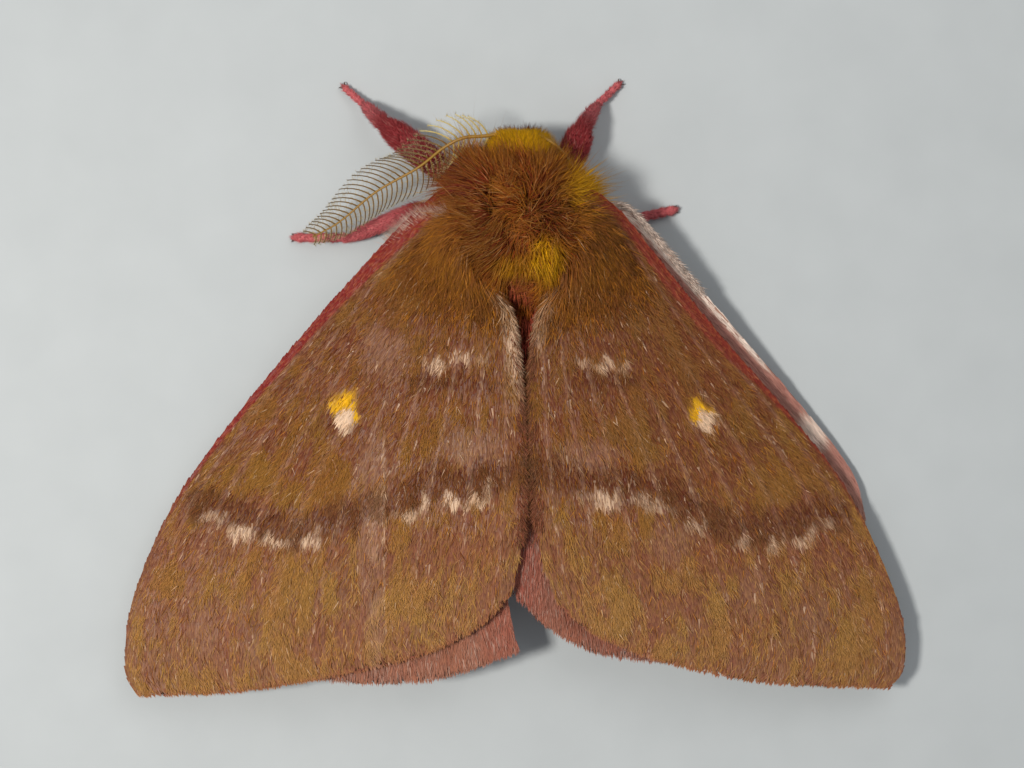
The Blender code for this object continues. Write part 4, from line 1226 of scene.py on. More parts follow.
# %% Places of the markings
MARKS = {
    "forewing_left": {
        "band": [
            (-19.8, -7.2), (-18.2, -7.6), (-16.6, -8.3), (-14.7, -8.8), (-12.6, -8.6),
            (-10.2, -7.7), (-7.6, -6.9), (-5.2, -5.8), (-3.5, -5.8), (-1.6, -5.4), (0.2, -5.0),
        ],
        "crescents": [
            (-18.9, -8.1, 0.9, 0.4, 0.5), (-17.3, -9.0, 0.8, 0.5, 1.0),
            (-16.6, -9.1, 0.4, 0.35, 0.9), (-15.1, -9.45, 0.95, 0.38, 0.75),
            (-12.9, -9.55, 0.6, 0.5, 0.85), (-12.2, -8.9, 0.25, 0.55, 0.6),
            (-6.8, -7.7, 0.8, 0.3, 0.75), (-5.8, -7.1, 0.32, 0.6, 0.75),
            (-4.0, -7.0, 0.75, 0.45, 0.95), (-2.6, -6.85, 0.7, 0.38, 0.85),
            (-1.85, -6.2, 0.3, 0.5, 0.5),
        ],
        "bar": (-4.05, 0.3, 2.3, 0.5),
        "bar_edge": [
            (-5.2, 1.35, 0.75, 0.35, 0.8), (-3.6, 1.6, 0.6, 0.35, 0.75), (-2.2, 1.7, 0.5, 0.3, 0.4),
        ],
        "spot": [(-10.55, -0.95, 0.72, 0.75), (-11.1, -1.35, 0.5, 0.35), (-10.0, -1.5, 0.35, 0.6)],
        "spot_white": [(-10.6, -2.1, 0.52, 0.68), (-10.85, -1.75, 0.5, 0.35)],
        "golden": [
            (-16.1, -5.5, 2.1, 1.2), (-11.4, -5.2, 1.2, 1.8), (-5.2, -2.5, 0.9, 1.8),
            (-14.3, -14.0, 2.0, 3.8), (-20.8, -18.1, 0.6, 0.6), (-6.6, -12.4, 1.3, 2.2),
            (-21.7, -12.1, 1.0, 1.9), (-15.8, -2.1, 1.3, 1.0), (-10.3, 4.4, 1.0, 0.8),
            (-7.0, 5.8, 1.7, 1.4),
        ],
        "mauve": [
            (-8.85, -4.6, 0.9, 1.8), (-9.1, -10.2, 1.2, 2.4), (-2.8, -3.6, 1.8, 1.2),
            (-19.5, -15.4, 1.4, 2.0), (-16.6, -15.9, 1.0, 1.2), (-8.2, 2.1, 1.4, 1.6),
        ],
        "stripe": (
            [0.0, 0.05, 0.17, 0.27, 0.38, 0.5, 0.65, 0.8, 1.0],
            [1.1, 1.1, 1.05, 0.85, 0.62, 0.52, 0.3, 0.14, 0.08],
        ),
    },
    "forewing_right": {
        "band": [
            (1.0, -5.0), (3.0, -5.4), (5.0, -5.8), (7.0, -6.1), (9.5, -6.8), (11.3, -7.9),
            (13.2, -8.7), (15.5, -8.6), (17.6, -8.2), (19.5, -7.8),
        ],
        "crescents": [
            (4.0, -6.6, 0.5, 0.4, 0.5), (5.15, -6.9, 0.85, 0.48, 1.0),
            (7.3, -6.85, 0.6, 0.35, 0.6), (8.3, -7.3, 0.95, 0.35, 0.65),
            (10.7, -8.5, 0.7, 0.35, 0.6), (13.5, -9.6, 0.6, 0.35, 0.65),
            (15.45, -9.75, 0.6, 0.4, 0.85), (17.2, -9.5, 0.7, 0.45, 0.8),
            (17.9, -8.9, 0.3, 0.5, 0.6), (18.95, -8.5, 0.5, 0.4, 0.55),
        ],
        "bar": (5.1, 0.35, 1.85, 0.5),
        "bar_edge": [
            (3.8, 1.3, 0.45, 0.3, 0.6), (5.1, 1.3, 0.6, 0.35, 0.75), (6.2, 1.2, 0.5, 0.3, 0.5),
        ],
        "spot": [(10.65, -1.35, 0.5, 0.65), (11.1, -1.5, 0.5, 0.4)],
        "spot_white": [(11.25, -2.15, 0.68, 0.58), (11.0, -1.8, 0.4, 0.4)],
        "golden": [
            (8.5, 3.6, 1.0, 1.4), (10.2, 0.55, 1.0, 1.4), (16.1, -6.1, 2.0, 1.1),
            (6.2, -3.4, 1.5, 2.0), (12.1, -15.6, 1.2, 2.6), (5.4, -13.6, 1.6, 2.2),
            (21.2, -14.6, 1.6, 3.2),
        ],
        "mauve": [
            (4.2, -4.1, 2.0, 1.0), (9.0, -9.7, 1.6, 1.4), (14.2, -13.0, 1.2, 2.4),
            (18.2, -14.4, 1.0, 2.0),
        ],
        "stripe": (
            [0.0, 0.1, 0.3, 0.42, 0.5, 0.6, 1.0], [0.5, 0.6, 0.75, 0.85, 0.4, 0.12, 0.08],
        ),
    },
}
# How strong the marks of the forewings are.
BAND_DARK, BAR_DARK, ROOT_DARK = 0.9, 1.1, 0.45
WHITE_MARKS = {"forewing_left": 0.85, "forewing_right": 0.72}
# Painted shade: the right forewing, which faces away from the lamp, is made a little darker all
# over.
PAINTED_SIDE_SHADE = {"forewing_left": 0.0, "forewing_right": 0.05}
STRIPE_RED = {"forewing_left": 1.0, "forewing_right": 0.8}


def near_line(x, y, line):
    """How far each place is from a line of points."""
    best = np.full(len(x), 1e9)
    for (ax, ay), (bx, by) in zip(line, line[1:]):
        share = ((x - ax) * (bx - ax) + (y - ay) * (by - ay)) / ((bx - ax) ** 2 + (by - ay) ** 2)
        share = np.clip(share, 0, 1)
        away = np.hypot(x - ax - share * (bx - ax), y - ay - share * (by - ay))
        best = np.minimum(best, away)
    return best


def blotches(x, y, places):
    """Several oval masks as one. The last number of each place is its strength."""
    masks = [strength * blotch(x, y, *oval) for *oval, strength in places]
    return np.maximum.reduce([np.zeros(len(x)), *masks])


def whole(places):
    """The same places at full strength."""
    return [(*place, 1.0) for place in places]


def ragged(x, y, seed):
    """Small shifts that give a painted edge the raggedness of single scales."""
    shift_x = 0.25 * soft_noise(x * 3.1, y * 1.3, seed)
    return x + shift_x, y + 0.4 * soft_noise(x * 3.3 + 11, y * 1.1, seed + 1)


# %% Forewing marks
def forewing_gold(name, facts):
    """How golden a place of the forewing is, and how far it lies in the crimson stripe."""
    x, y, u, v, places = facts["x"], facts["y"], facts["u"], facts["v"], MARKS[name]
    stripe = soft_step(0.12, -0.12, facts["costa"] - np.interp(v, *places["stripe"]))
    stripe = stripe * (1 - 0.75 * soft_step(0.6, 0.8, v)) * STRIPE_RED[name]
    veins = vein_relief(u, v, VEINS["forewing"]) / (VEIN_RAISE * (1 - 0.6 * v))
    gold = 0.3 + 0.3 * soft_noise(u * 46, v * 12, 61) + 0.55 * soft_noise(x * 1.3, y * 0.75, 63)
    gold = gold + 0.3 * soft_noise(u * 110, v * 30, 67)
    for place in places["golden"]:
        gold = gold + 0.45 * blotch(x, y, *place)
    for place in places["mauve"]:
        gold = gold - 0.5 * blotch(x, y, *place)
    return np.clip(gold - 0.3 * veins, 0, 1) * (1 - stripe), stripe, veins


def forewing_marks(name, facts, draw):
    """Gold, rose, pale and deep marks, and the bright yellow of the spot."""
    own = draw.random(len(facts["x"]))
    x, y = ragged(facts["x"], facts["y"], 60)
    u, v, places = facts["u"], facts["v"], MARKS[name]
    left = name == "forewing_left"
    gold, stripe, veins = forewing_gold(name, facts)
    gold = 0.45 * gold + 0.08 * (own - 0.5)
    deep = BAND_DARK * soft_step(1.45, 0.4, near_line(x, y, places["band"]))
    deep = deep * (0.95 + 0.4 * soft_noise(u * 24, v * 3, 65))
    # The dark bar, and the painted shade that darkens all of the right forewing a little.
    deep += BAR_DARK * blotch(x, y, *places["bar"]) + PAINTED_SIDE_SHADE[name]
    deep += ROOT_DARK * soft_step(1.0, 0.3, v) + 0.1 * (draw.random(len(x)) > 0.8)
    flecks = WHITE_MARKS[name] * (0.45 + 0.55 * (own > 0.35))
    pale = flecks * blotches(x, y, places["crescents"] + places["bar_edge"])
    pale = np.maximum(pale, blotches(x, y, whole(places["spot_white"])))
    bright = blotches(x, y, whole(places["spot"])) * (1 - soft_step(0.3, 0.7, pale))
    rose = 0.1 + 0.14 * soft_noise(x * 0.5 + 8, y * 0.4 + 1, 66) + 0.1 * veins
    rose = np.maximum(rose, 0.5 * soft_step(0.9, 0.1, facts["outer"]))
    rose = np.maximum(rose, stripe)
    inner = soft_step(1.0, 0.2, facts["inner"]) * soft_step(6.4, 5.4, y)
    inner = inner * (0.75 * soft_step(-2.5, 3.5, y) if left else 0.4 * soft_step(1.8, 3.2, y))
    pale = np.maximum(pale, inner * (own > 0.3))
    # Pale veins, and on them scattered painted glints: single strands made pale to stand for white
    # highlights.
    pale = np.maximum(pale, 0.08 * veins + 0.25 * veins * (own > 0.9) * soft_step(0.3, 0.5, v))
    pale = np.maximum(pale, 0.1 * blotches(x, y, whole(places["mauve"])))
    pale = np.maximum(pale, 0.07 * soft_step(0.6, 1.0, v))
    # Painted glints: about one strand in a hundred is made pale, to stand for the white highlights
    # of single scales.
    pale = np.maximum(pale, 0.42 * (own > 0.988)) * (1 - stripe)
    if left:
        fold = soft_step(1.3, 0.0, np.abs(x - CREASE_X + 0.7)) * soft_step(-2, -6, y)
        fold = fold * (0.65 + 0.5 * soft_noise(x * 2.1, y * 0.6, 68)) * (facts["x"] < CREASE_X)
        pale = np.maximum(pale, 0.22 * fold)
        line = np.exp(-np.abs(facts["x"] - CREASE_X) / 0.05) * soft_step(-2.6, -3.6, y)
        pale = np.maximum(pale, 0.55 * line * soft_step(-15.6, -14.5, y))
    gold = np.clip(gold, 0, 1) * (1 - stripe) * (1 - 0.75 * np.clip(deep, 0, 1))
    deep = deep * (1 - stripe * 0.85) + 0.7 * stripe * soft_step(0.09, 0.02, v)
    return np.stack([gold, rose, np.clip(pale, 0, 1), np.clip(deep, 0, 0.95)], -1), bright


# %% Hindwing marks
WORN_PLACE = (18.1, -2.9, 1.2, 1.3)


def hindwing_marks(name, facts, draw):
    """Dusty pink. The right one shows its front edge: crimson, a white hairy rim, a worn place."""
    own = draw.random(len(facts["x"]))
    x, y, u, v, costa = (facts[key] for key in ("x", "y", "u", "v", "costa"))
    streak = soft_noise(u * 40, v * 8, 71) * 0.6 + soft_noise(u * 110, v * 14, 72) * 0.4
    gold = 0.2 + 0.2 * streak + 0.2 * (own - 0.5)
    rose = (0.12 if name == "hindwing_left" else 0.22) + 0.2 * streak
    rose = rose + 0.3 * soft_step(3.2, 0.4, facts["inner"])
    pale, deep = 0.2 * (own > 0.9), 0.1 + 0.2 * (own > 0.8)
    if name == "hindwing_right":
        rose += 0.4 * soft_step(2.6, 0.6, costa) * soft_step(-9, -6, y)
        width = np.interp(y, [1.5, 9.0], [0.3, 0.7])
        hairy = soft_step(width + 0.25, width - 0.15, costa) * soft_step(0.2, 1.8, y)
        # The front mask is partly the strip's own pink and partly painted light: the strip is made
        # paler and loses its dark to offset the forewing's shadow on it.
        worn, front = blotch(x, y, *WORN_PLACE), soft_step(3.0, 2.0, costa)
        rose = rose * (1 - 0.85 * worn) * (1 - 0.8 * hairy)
        rose = np.maximum(rose, 0.5 * front * (1 - hairy) * (1 - worn))
        pale = np.maximum.reduce([pale, 0.95 * hairy * (own > 0.15), 0.8 * worn, 0.16 * front])
        deep = (deep + 0.15) * (1 - front)
    return np.stack([gold, np.clip(rose, 0, 0.9), pale, deep], -1), np.zeros(len(x))


def wing_marks(surface, s, t, draw):
    facts = wing_facts(surface, s, t)
    maker = forewing_marks if surface.name.startswith("fore") else hindwing_marks
    return maker(surface.name, facts, draw)


# %% [markdown]
# ## Wing sheets
# The sheet under the scales starts as a flat grid. Its two numbers, across and along, are kept as
# its map, so streaks follow the veins, and each of its points is moved onto the wing. Extruding the
# whole sheet once, a little downward, gives it a thickness. Solidify would do the same, but it
# pushes points far out where the sheet bends sharply at a vein. The sheet stops a little before the
# outer edge, which is the edge of its fringe.

# %% Wing sheets
HEM = 0.985


def place_wing(name):
    surface, kind = SURFACES[name], kind_of(name)
    rows, columns = GRID_SIZES[kind]
    bm = bmesh.new()
    bm.loops.layers.uv.new("Wing")
    bmesh.ops.create_grid(bm, x_segments=columns - 1, y_segments=rows - 1, size=0.5, calc_uvs=True)
    s_layer, t_layer = bm.verts.layers.float.new("s"), bm.verts.layers.float.new("t")
    flat = np.array([vertex.co[:2] for vertex in bm.verts]) + 0.5
    flat = np.clip(flat, 0, 1) * [1.0, HEM]
    places = surface.at(surface.points, flat[:, 0], flat[:, 1])
    for vertex, place, (s, t) in zip(bm.verts, places, flat):
        vertex.co = place
        vertex[s_layer], vertex[t_layer] = s, t
    grown = bmesh.ops.extrude_face_region(bm, geom=bm.faces[:])["geom"]
    under = [part for part in grown if isinstance(part, bmesh.types.BMVert)]
    bmesh.ops.translate(bm, vec=(0, 0, -SHEET_THICK), verts=under)
    bmesh.ops.recalc_face_normals(bm, faces=bm.faces)
    mesh = skin_mesh(bm, f"{name}_sheet")
    s, t = skin_values(mesh, "s"), skin_values(mesh, "t")
    marks, bright = wing_marks(surface, s, t, np.random.default_rng(80))
    marks[:, 0] = np.maximum(marks[:, 0], bright)
    mark_skin(mesh, marks)
    settle(mesh, FINISHES[f"{kind}_skin"], kind, name)


for name in WINGS:
    place_wing(name)

# %% [markdown]
# ## Scales of the wings
# A moth's wing is shingled with thousands of scales, and on a silk moth many of them are drawn out
# into hairs that all point to the outer edge. So there are two layers: broad smooth scales that lie
# flat and make the dusty ground, and golden hair-scales in tufts, which lean out of the wing, fan
# out a little and catch the light. Near the root the scales give way to long soft hair, which flows
# out of the thorax, and along the outer edge they make a fringe.

# %% Wing scales
def wing_lie(surface, s, t, draw, spread):
    """Along the wing, with some spread to either side, but none at the front edge."""
    along, across = surface.at(surface.along, s, t), surface.at(surface.across, s, t)
    costa = surface.value(surface.from_costa, s, t)
    slow = 0.6 * soft_noise(s * 40, t * 16, 90)
    turn = spread * (draw.normal(0, 1, len(s)) + slow) * soft_step(-0.1, 1.2, costa)
    return along + across * turn[:, None]


def wing_coat(name, label, strands, marks, shade, finish="scales", **options):
    """Settles strands of a wing as a piece, in one of the finishes of its kind of wing."""
    kind = kind_of(name)
    settle_coat(
        f"{name}_{label}", f"{kind}_{finish}", kind, strands, marks, shade, [name], **options
    )


def wing_scales(name, seed, where, label, count, length, width, rise, spread, shades):
    """One layer of scales, with its range of lengths, rises and shades."""
    surface, draw = SURFACES[name], np.random.default_rng(seed)
    s, t = surface.scatter(count, draw, where)
    facts = wing_facts(surface, s, t)
    calm = soft_step(0.0, 1.0, facts["costa"])
    lengths = draw.uniform(*length, count)
    lengths = np.minimum(lengths, np.maximum(0.25, facts["outer"] + 0.06))
    rises = draw.uniform(*rise, count) * (0.25 + 0.75 * calm)
    widths = width * draw.uniform(0.7, 1.35, count)
    lie = wing_lie(surface, s, t, draw, spread)
    roll = draw.uniform(-0.4, 0.4, count)
    strands = grow(surface, s, t, lie, lengths, widths, rises, bends=1, sink=0.03, roll=roll)
    marks, bright = wing_marks(surface, s, t, draw)
    if label == "tufts":
        gold, rose, pale, deep = marks.T
        full = (1 - rose * (rose > 0.5)) * (1 - pale) * (1 - 0.7 * deep)
        marks[:, 0] = np.maximum(gold, draw.uniform(0.65, 1.0, count) * full)
    shade = np.clip(draw.normal(*shades, count), 0, 1)
    wing_coat(name, label, strands, marks, shade, bright=bright, thick=0.2, smooth=False)


def golden(name):
    """Where the golden tufts of a forewing grow."""

    def where(s, t):
        return 0.015 + forewing_gold(name, wing_facts(SURFACES[name], s, t))[0] ** 2.6

    return where


def shown_hindwing(s, t):
    """Where a hindwing isn't covered: along its front edge, its inner edge and its hem."""
    return 0.12 + soft_step(0.3, 0.15, s) + soft_step(0.72, 0.85, t) + soft_step(0.8, 0.92, s)


GROUND = {
    "label": "ground", "count": 25000, "length": (0.4, 0.7), "width": 0.17,
    "rise": (0.02, 0.09), "spread": 0.14, "shades": (0.5, 0.09),
}
TUFTS = {
    "label": "tufts", "count": 21000, "length": (0.35, 0.75), "width": 0.07,
    "rise": (0.1, 0.34), "spread": 0.42, "shades": (0.62, 0.27),
}
SOFT_SCALES = {
    "label": "scales", "count": 15500, "length": (0.5, 0.9), "width": 0.1,
    "rise": (0.05, 0.2), "spread": 0.16, "shades": (0.5, 0.14),
}
for index, side in enumerate(("left", "right")):
    name = f"forewing_{side}"
    wing_scales(name, 101 + index, None, **GROUND)
    wing_scales(name, 105 + index, golden(name), **TUFTS)
for index, side in enumerate(("left", "right")):
    wing_scales(f"hindwing_{side}", 103 + index, shown_hindwing, **SOFT_SCALES)


# %% Wing hair
HAIR_COUNT, FRINGE_COUNT = 8000, 4500


def wing_hair(name, seed):
    """Long soft hair at the root that thins out down the wing."""
    surface, draw, count = SURFACES[name], np.random.default_rng(seed), HAIR_COUNT

    def where(s, t):
        away = surface.value(surface.from_costa, s, t) - np.interp(t, *MARKS[name]["stripe"])
        return soft_step(0.34, 0.08, t) * soft_step(0.3, 1.5, away) + 0.015 * (away > 0.5)

    s, t = surface.scatter(count, draw, where)
    root, facts = soft_step(0.34, 0.06, t), wing_facts(surface, s, t)
    lengths = (0.8 + 1.1 * root) * draw.uniform(0.7, 1.2, count)
    lengths = np.minimum(lengths, np.maximum(0.25, facts["outer"]))
    rises = np.clip(0.14 + 0.2 * root + 0.08 * draw.normal(0, 1, count), 0.05, 0.6)
    widths = draw.uniform(0.035, 0.065, count)
    lie = wing_lie(surface, s, t, draw, 0.34)
    roll = draw.uniform(-0.6, 0.6, count)
    strands = grow(surface, s, t, lie, lengths, widths, rises, bends=2, sink=0.06, roll=roll)
    marks, bright = wing_marks(surface, s, t, draw)
    tuft = soft_noise(facts["x"] * 1.6, facts["y"] * 1.1, 91)
    is_golden = draw.random(count) < 0.35 + 0.4 * tuft
    marks[:, 0] = np.where(is_golden, draw.uniform(0.6, 1.0, count), 0.5 * marks[:, 0])
    marks[:, 3] *= np.where(is_golden, 0.3, 1.0)
    shade = np.clip(draw.normal(0.55, 0.22, count), 0, 1)
    wing_coat(name, "hair", strands, marks, shade, "hair", bright=bright)


wing_hair("forewing_left", 111)
wing_hair("forewing_right", 112)


# %% Fringes and long edge hair
def fringe(name, seed):
    """Tufts whose tips make the outer edge itself, a little ragged."""
    surface, draw, count = SURFACES[name], np.random.default_rng(seed), FRINGE_COUNT
    s = draw.uniform(0.003, 0.997, count)
    near = surface.value(surface.from_outer, s, 0.98 + 0 * s)
    depth = draw.uniform(0.3, 0.85, count)
    t = 1 - 0.02 * depth / near
    lie = wing_lie(surface, s, t, draw, 0.2)
    tuft = soft_noise(s * 62, 0 * s, 121 + seed)
    lengths = np.maximum(0.2, depth + 0.13 * tuft - 0.04 + 0.05 * draw.normal(0, 1, count))
    rises, widths = draw.uniform(-0.04, 0.1, count), draw.uniform(0.06, 0.11, count)
    strands = grow(surface, s, t, lie, lengths, widths, rises, bends=1, sink=0.05)
    strands["line"][:, :, 2] -= SHEET_THICK * draw.random(count)[:, None] * 0.8
    marks, _ = wing_marks(surface, s, t, draw)
    marks[:, 1] = np.maximum(marks[:, 1], 0.25 + 0.2 * draw.random(count))
    marks[:, 2] = np.maximum(marks[:, 2], 0.12)
    wing_coat(name, "fringe", strands, marks, draw.random(count))


def edge_hair(name, label, count, seed, span, out, length, rise, pale, rose=0.0):
    """Loose hair that stands out of a wing's front edge or inner edge, over a span of it."""
    surface, draw = SURFACES[name], np.random.default_rng(seed)
    edge = 1 if label == "inner_hair" else 0
    t = draw.uniform(*span, count)
    s = np.abs(edge - 0.03 * draw.random(count) ** 2)
    outward = out if edge else -out
    lie = surface.at(surface.along, s, t) + outward * surface.at(surface.across, s, t)
    lie = lie + draw.normal(0, 0.2, (count, 3))
    lengths = length * draw.uniform(0.5, 1.1, count)
    widths, rises = draw.uniform(0.03, 0.055, count), draw.uniform(*rise, count)
    strands = grow(surface, s, t, lie, lengths, widths, rises, bends=2, sink=0.05)
    marks, _ = wing_marks(surface, s, t, draw)
    marks[:, 1] = np.maximum(marks[:, 1], rose)
    marks[:, 2] = np.maximum(marks[:, 2], pale * draw.uniform(0.3, 1.0, count))
    wing_coat(name, label, strands, marks, draw.random(count))


EDGE_HAIR = {
    "hindwing_right": {
        "label": "edge_hair", "count": 1800, "seed": 141, "span": (0.02, 0.42),
        "out": 0.12, "length": 0.8, "rise": (0.0, 0.3), "pale": 0.95,
    },
    "hindwing_left": {
        "label": "edge_hair", "count": 1600, "seed": 142, "span": (0.04, 0.2),
        "out": 1.6, "length": 2.0, "rise": (-0.5, -0.3), "pale": 0.85, "rose": 0.1,
    },
    "forewing_left": {
        "label": "inner_hair", "count": 2400, "seed": 143, "span": (0.2, 0.86),
        "out": 0.5, "length": 0.75, "rise": (-0.1, 0.2), "pale": 0.1, "rose": 0.7,
    },
    "forewing_right": {
        "label": "inner_hair", "count": 2400, "seed": 144, "span": (0.2, 0.8),
        "out": 0.5, "length": 0.75, "rise": (-0.1, 0.2), "pale": 0.1, "rose": 0.7,
    },
}
for index, name in enumerate(WINGS):
    fringe(name, 130 + index)
for name, hair in EDGE_HAIR.items():
    edge_hair(name, **hair)

# %% [markdown]
# ## Legs
# A leg is one skin from the hip to the foot, thick at the thigh and beaded along the foot, where
# its five small joints are. Thigh and shin carry a plush of crimson hair, and the foot ends in two
# dark claws. The line of each leg is the solid's: it leaves the thorax, bends at the knee and at
# the ankle, and comes down flat on the floor.

# %% Leg lines
# Where a leg looks from the middle of the thorax, then its knee, its ankle and its toe.
LEGS = {
    "foreleg_left": (
        (-0.62, 0.62, -0.52), (-8.45, 16.15, 3.0), (-9.85, 17.6, 1.1), (-11.1, 18.75, 0.36)
    ),
    "foreleg_right": (
        (0.5, 0.66, -0.55), (3.9, 15.95, 3.0), (4.85, 17.55, 1.1), (6.25, 18.95, 0.36)
    ),
    "midleg_left": (
        (-0.8, 0.05, -0.55), (-6.5, 10.9, 2.3), (-10.7, 9.2, 0.9), (-14.2, 9.25, 0.36)
    ),
    "midleg_right": (
        (0.75, 0.1, -0.65), (5.0, 10.0, 1.95), (7.1, 10.4, 0.85), (9.75, 11.0, 0.36)
    ),
    "hindleg_left": (
        (-0.6, -0.6, -0.62), (-5.6, 3.3, 2.9), (-7.9, -3.5, 0.9), (-8.5, -7.6, 0.36)
    ),
    "hindleg_right": (
        (0.6, -0.6, -0.62), (5.6, 3.3, 2.9), (7.9, -3.5, 0.9), (8.5, -7.6, 0.36)
    ),
}
# Radii of the root, the thigh, the knee, the shin and the foot.
LEG_WIDTHS = {
    "foreleg": (0.58, 0.92, 0.54, 0.42, 0.31),
    "midleg": (0.5, 0.68, 0.5, 0.48, 0.36),
    "hindleg": (0.5, 0.62, 0.45, 0.45, 0.36),
}
LEG_STRANDS = {"foreleg": 7500, "midleg": 6000, "hindleg": 2000}
LEG_COAT, FOOT_BEADS = 0.1, 10
THORAX_CENTRE = np.array([0.0, *THORAX_MIDDLE])


def thorax_point(look):
    """The solid thorax's surface along a way, and how it faces there."""
    way, half = unit(np.array(look)), np.array(THORAX_HALF)
    size = (np.abs(way / half) ** THORAX_POWER).sum() ** (-1 / THORAX_POWER)
    offset = way * size
    return THORAX_CENTRE + offset, unit(np.abs(offset / half) ** 1.4 * np.sign(offset) / half)


def leg_line(name):
    """Points down a leg and its radius at each, from inside the thorax to the toe."""
    look, knee, ankle, toe = LEGS[name]
    root_r, thigh_r, knee_r, shin_r, foot_r = LEG_WIDTHS[kind_of(name)]
    root, normal = thorax_point(look)
    knee, ankle, toe = np.array(knee), np.array(ankle), np.array(toe)
    hip = root + normal * 1.05
    points = [root - normal * 0.8, root + normal * 0.35, hip]
    radii = [root_r, root_r * 1.15, root_r * 1.3]
    thigh = ((0.3, 0.84 * thigh_r), (0.6, thigh_r), (0.84, 0.92 * thigh_r), (1.0, knee_r * 0.92))
    shin = ((0.15, knee_r), (0.45, shin_r * 1.15), (0.8, shin_r), (1.0, foot_r * 0.9))
    for start, end, widths in ((hip, knee, thigh), (knee, ankle, shin)):
        for share, radius in widths:
            points.append(start + (end - start) * share)
            radii.append(radius)
    for bead in range(1, FOOT_BEADS + 1):
        points.append(ankle + (toe - ankle) * bead / FOOT_BEADS)
        radii.append(foot_r * (1.08 if bead % 2 else 0.86))
    points.append(toe + unit(toe - ankle) * 0.22)
    radii.append(foot_r * 0.55)
    return np.array(points), np.array(radii) - LEG_COAT


def leg_stations(name):
    points, radii = leg_line(name)
    line = smooth_path(points, 3)
    spread = np.interp(np.linspace(0, 1, len(line)), np.linspace(0, 1, len(radii)), radii)
    return tube_stations(line, spread)


def leg_marks(share, draw):
    """Dark crimson thigh, lighter and rosier towards the foot."""
    count = len(share)
    foot = soft_step(0.27, 0.38, share)
    gold = 0.3 * soft_step(0.6, 1.0, share) * draw.random(count)
    rose = 0.08 + 0.72 * foot + 0.1 * (draw.random(count) - 0.5)
    deep = 0.2 * (1 - foot) * draw.random(count)
    pale = 0.35 * (draw.random(count) > 0.93)
    return np.stack([gold, rose, pale, deep], -1)


# %% Legs
def place_leg(name, index):
    stations = leg_stations(name)
    draw = np.random.default_rng(150 + index)
    mesh = skin_mesh(drawn_tube(stations, 20), f"{name}_skin")
    mark_skin(mesh, leg_marks(skin_values(mesh, "share"), draw))
    nodes = [f"{name}_{part}" for part in ("femur", "tibia", "tarsus")]
    settle(mesh, FINISHES["leg_skin"], "leg", *nodes)
    surface, count = tube_surface(stations, 33), LEG_STRANDS[kind_of(name)]
    s, t = surface.scatter(count, draw, lambda s, t: soft_step(0.04, 0.1, t) * (1.4 - 0.7 * t))
    thigh = soft_step(0.5, 0.3, t)
    lie = surface.at(surface.along, s, t) + draw.normal(0, 0.16, (count, 3))
    lengths = (0.24 + 0.2 * thigh) * draw.uniform(0.6, 1.25, count)
    rises, roll = draw.uniform(0.16, 0.45, count), draw.uniform(-0.5, 0.5, count)
    widths = 0.04 + 0.015 * thigh
    strands = grow(surface, s, t, lie, lengths, widths, rises, bends=1, sink=0.04, roll=roll)
    shade = np.clip(draw.normal(0.5, 0.14, count), 0, 1)
    settle_coat(f"{name}_down", "leg_hair", "leg", strands, leg_marks(t, draw), shade, nodes)


def claw_finish():
    made, tree, shader = new_material("claw")
    horn = streaks(tree, 6000.0, 6000.0).outputs["Mask"]
    colour = mix(tree, horn, tone(38, 18, 14), tone(84, 40, 26))
    tree.links.new(colour, shader.inputs["Base Color"])
    set_shader(shader, roughness=0.3, coat_weight=0.3)
    return made


def place_claws():
    """Two curved hooks at each foot, spread to either side."""
    finish = claw_finish()
    for name, (_, _, ankle, toe) in LEGS.items():
        along = unit(np.array(toe) - np.array(ankle)) * [1, 1, 0]
        side = np.cross(along, [0, 0, 1])
        hooks = []
        for turn in (-1, 1):
            out = unit(along * 0.8 + side * 0.6 * turn)
            start = np.array(toe) - along * 0.1
            points = [start, start + out * 0.2, start + out * 0.35, start + out * 0.45]
            points[1] = points[1] + [0, 0, 0.04]
            points[3] = points[3] * [1, 1, 0] + [0, 0, 0.05]
            line = smooth_path(points, 4)
            radii = np.linspace(0.08, 0.016, len(line))
            hooks.append(drawn_tube(tube_stations(line, radii), 10))
        settle(skin_mesh(gathered(hooks), f"{name}_claws"), finish, "leg", f"{name}_tarsus")


for index, name in enumerate(LEGS):
    place_leg(name, index)
place_claws()

# %% [markdown]
# ## Antennae
# A male silk moth smells with two combs. Each has a tapering shaft with some three dozen pairs of
# side branches, longest in the middle and curved towards the tip, and each branch carries rows of
# hairs so fine that they show only as a veil. The branches are drawn out as tubes along short
# curves, and the veil is made of slivers that grow from them.

# %% Antenna lines
ANTENNAE = {
    "left": {
        "root": (-0.6, 0.55, 0.55),
        "path": [
            (-2.3, 15.1, 5.7), (-3.5, 14.98, 5.75), (-4.7, 14.4, 5.5), (-6.3, 13.25, 4.7),
            (-8.9, 11.85, 3.9), (-11.2, 10.05, 3.2), (-12.9, 9.15, 2.7),
        ],
        "upper": (-0.45, 0.8, 0.38), "leave": 68, "arrive": 30, "longest": 2.4, "first": 0.12,
    },
    "right": {
        "root": (0.6, 0.5, 0.6),
        "path": [
            (2.15, 14.55, 5.6), (3.0, 13.6, 4.95), (3.6, 12.4, 4.35), (4.3, 10.9, 3.75),
            (5.1, 8.9, 3.45), (6.0, 6.8, 3.3), (7.0, 4.6, 3.1), (8.0, 2.6, 2.8),
        ],
        "upper": (1.0, 0.25, 0.1), "leave": 34, "arrive": 20, "longest": 2.0, "first": 0.3,
    },
}
RAMUS_PAIRS, BASE_PAIRS, LAST_RAMUS = 36, 7, 0.985
RAMUS_RADII, VEIL_STRANDS, VEIL_WIDTH = (0.052, 0.026), 56, 0.02
# Shares along the shaft, and its radius at each.
SHAFT_RADII = ([0.0, 0.05, 0.1, 0.5, 1.0], [0.22, 0.22, 0.13, 0.1, 0.045])


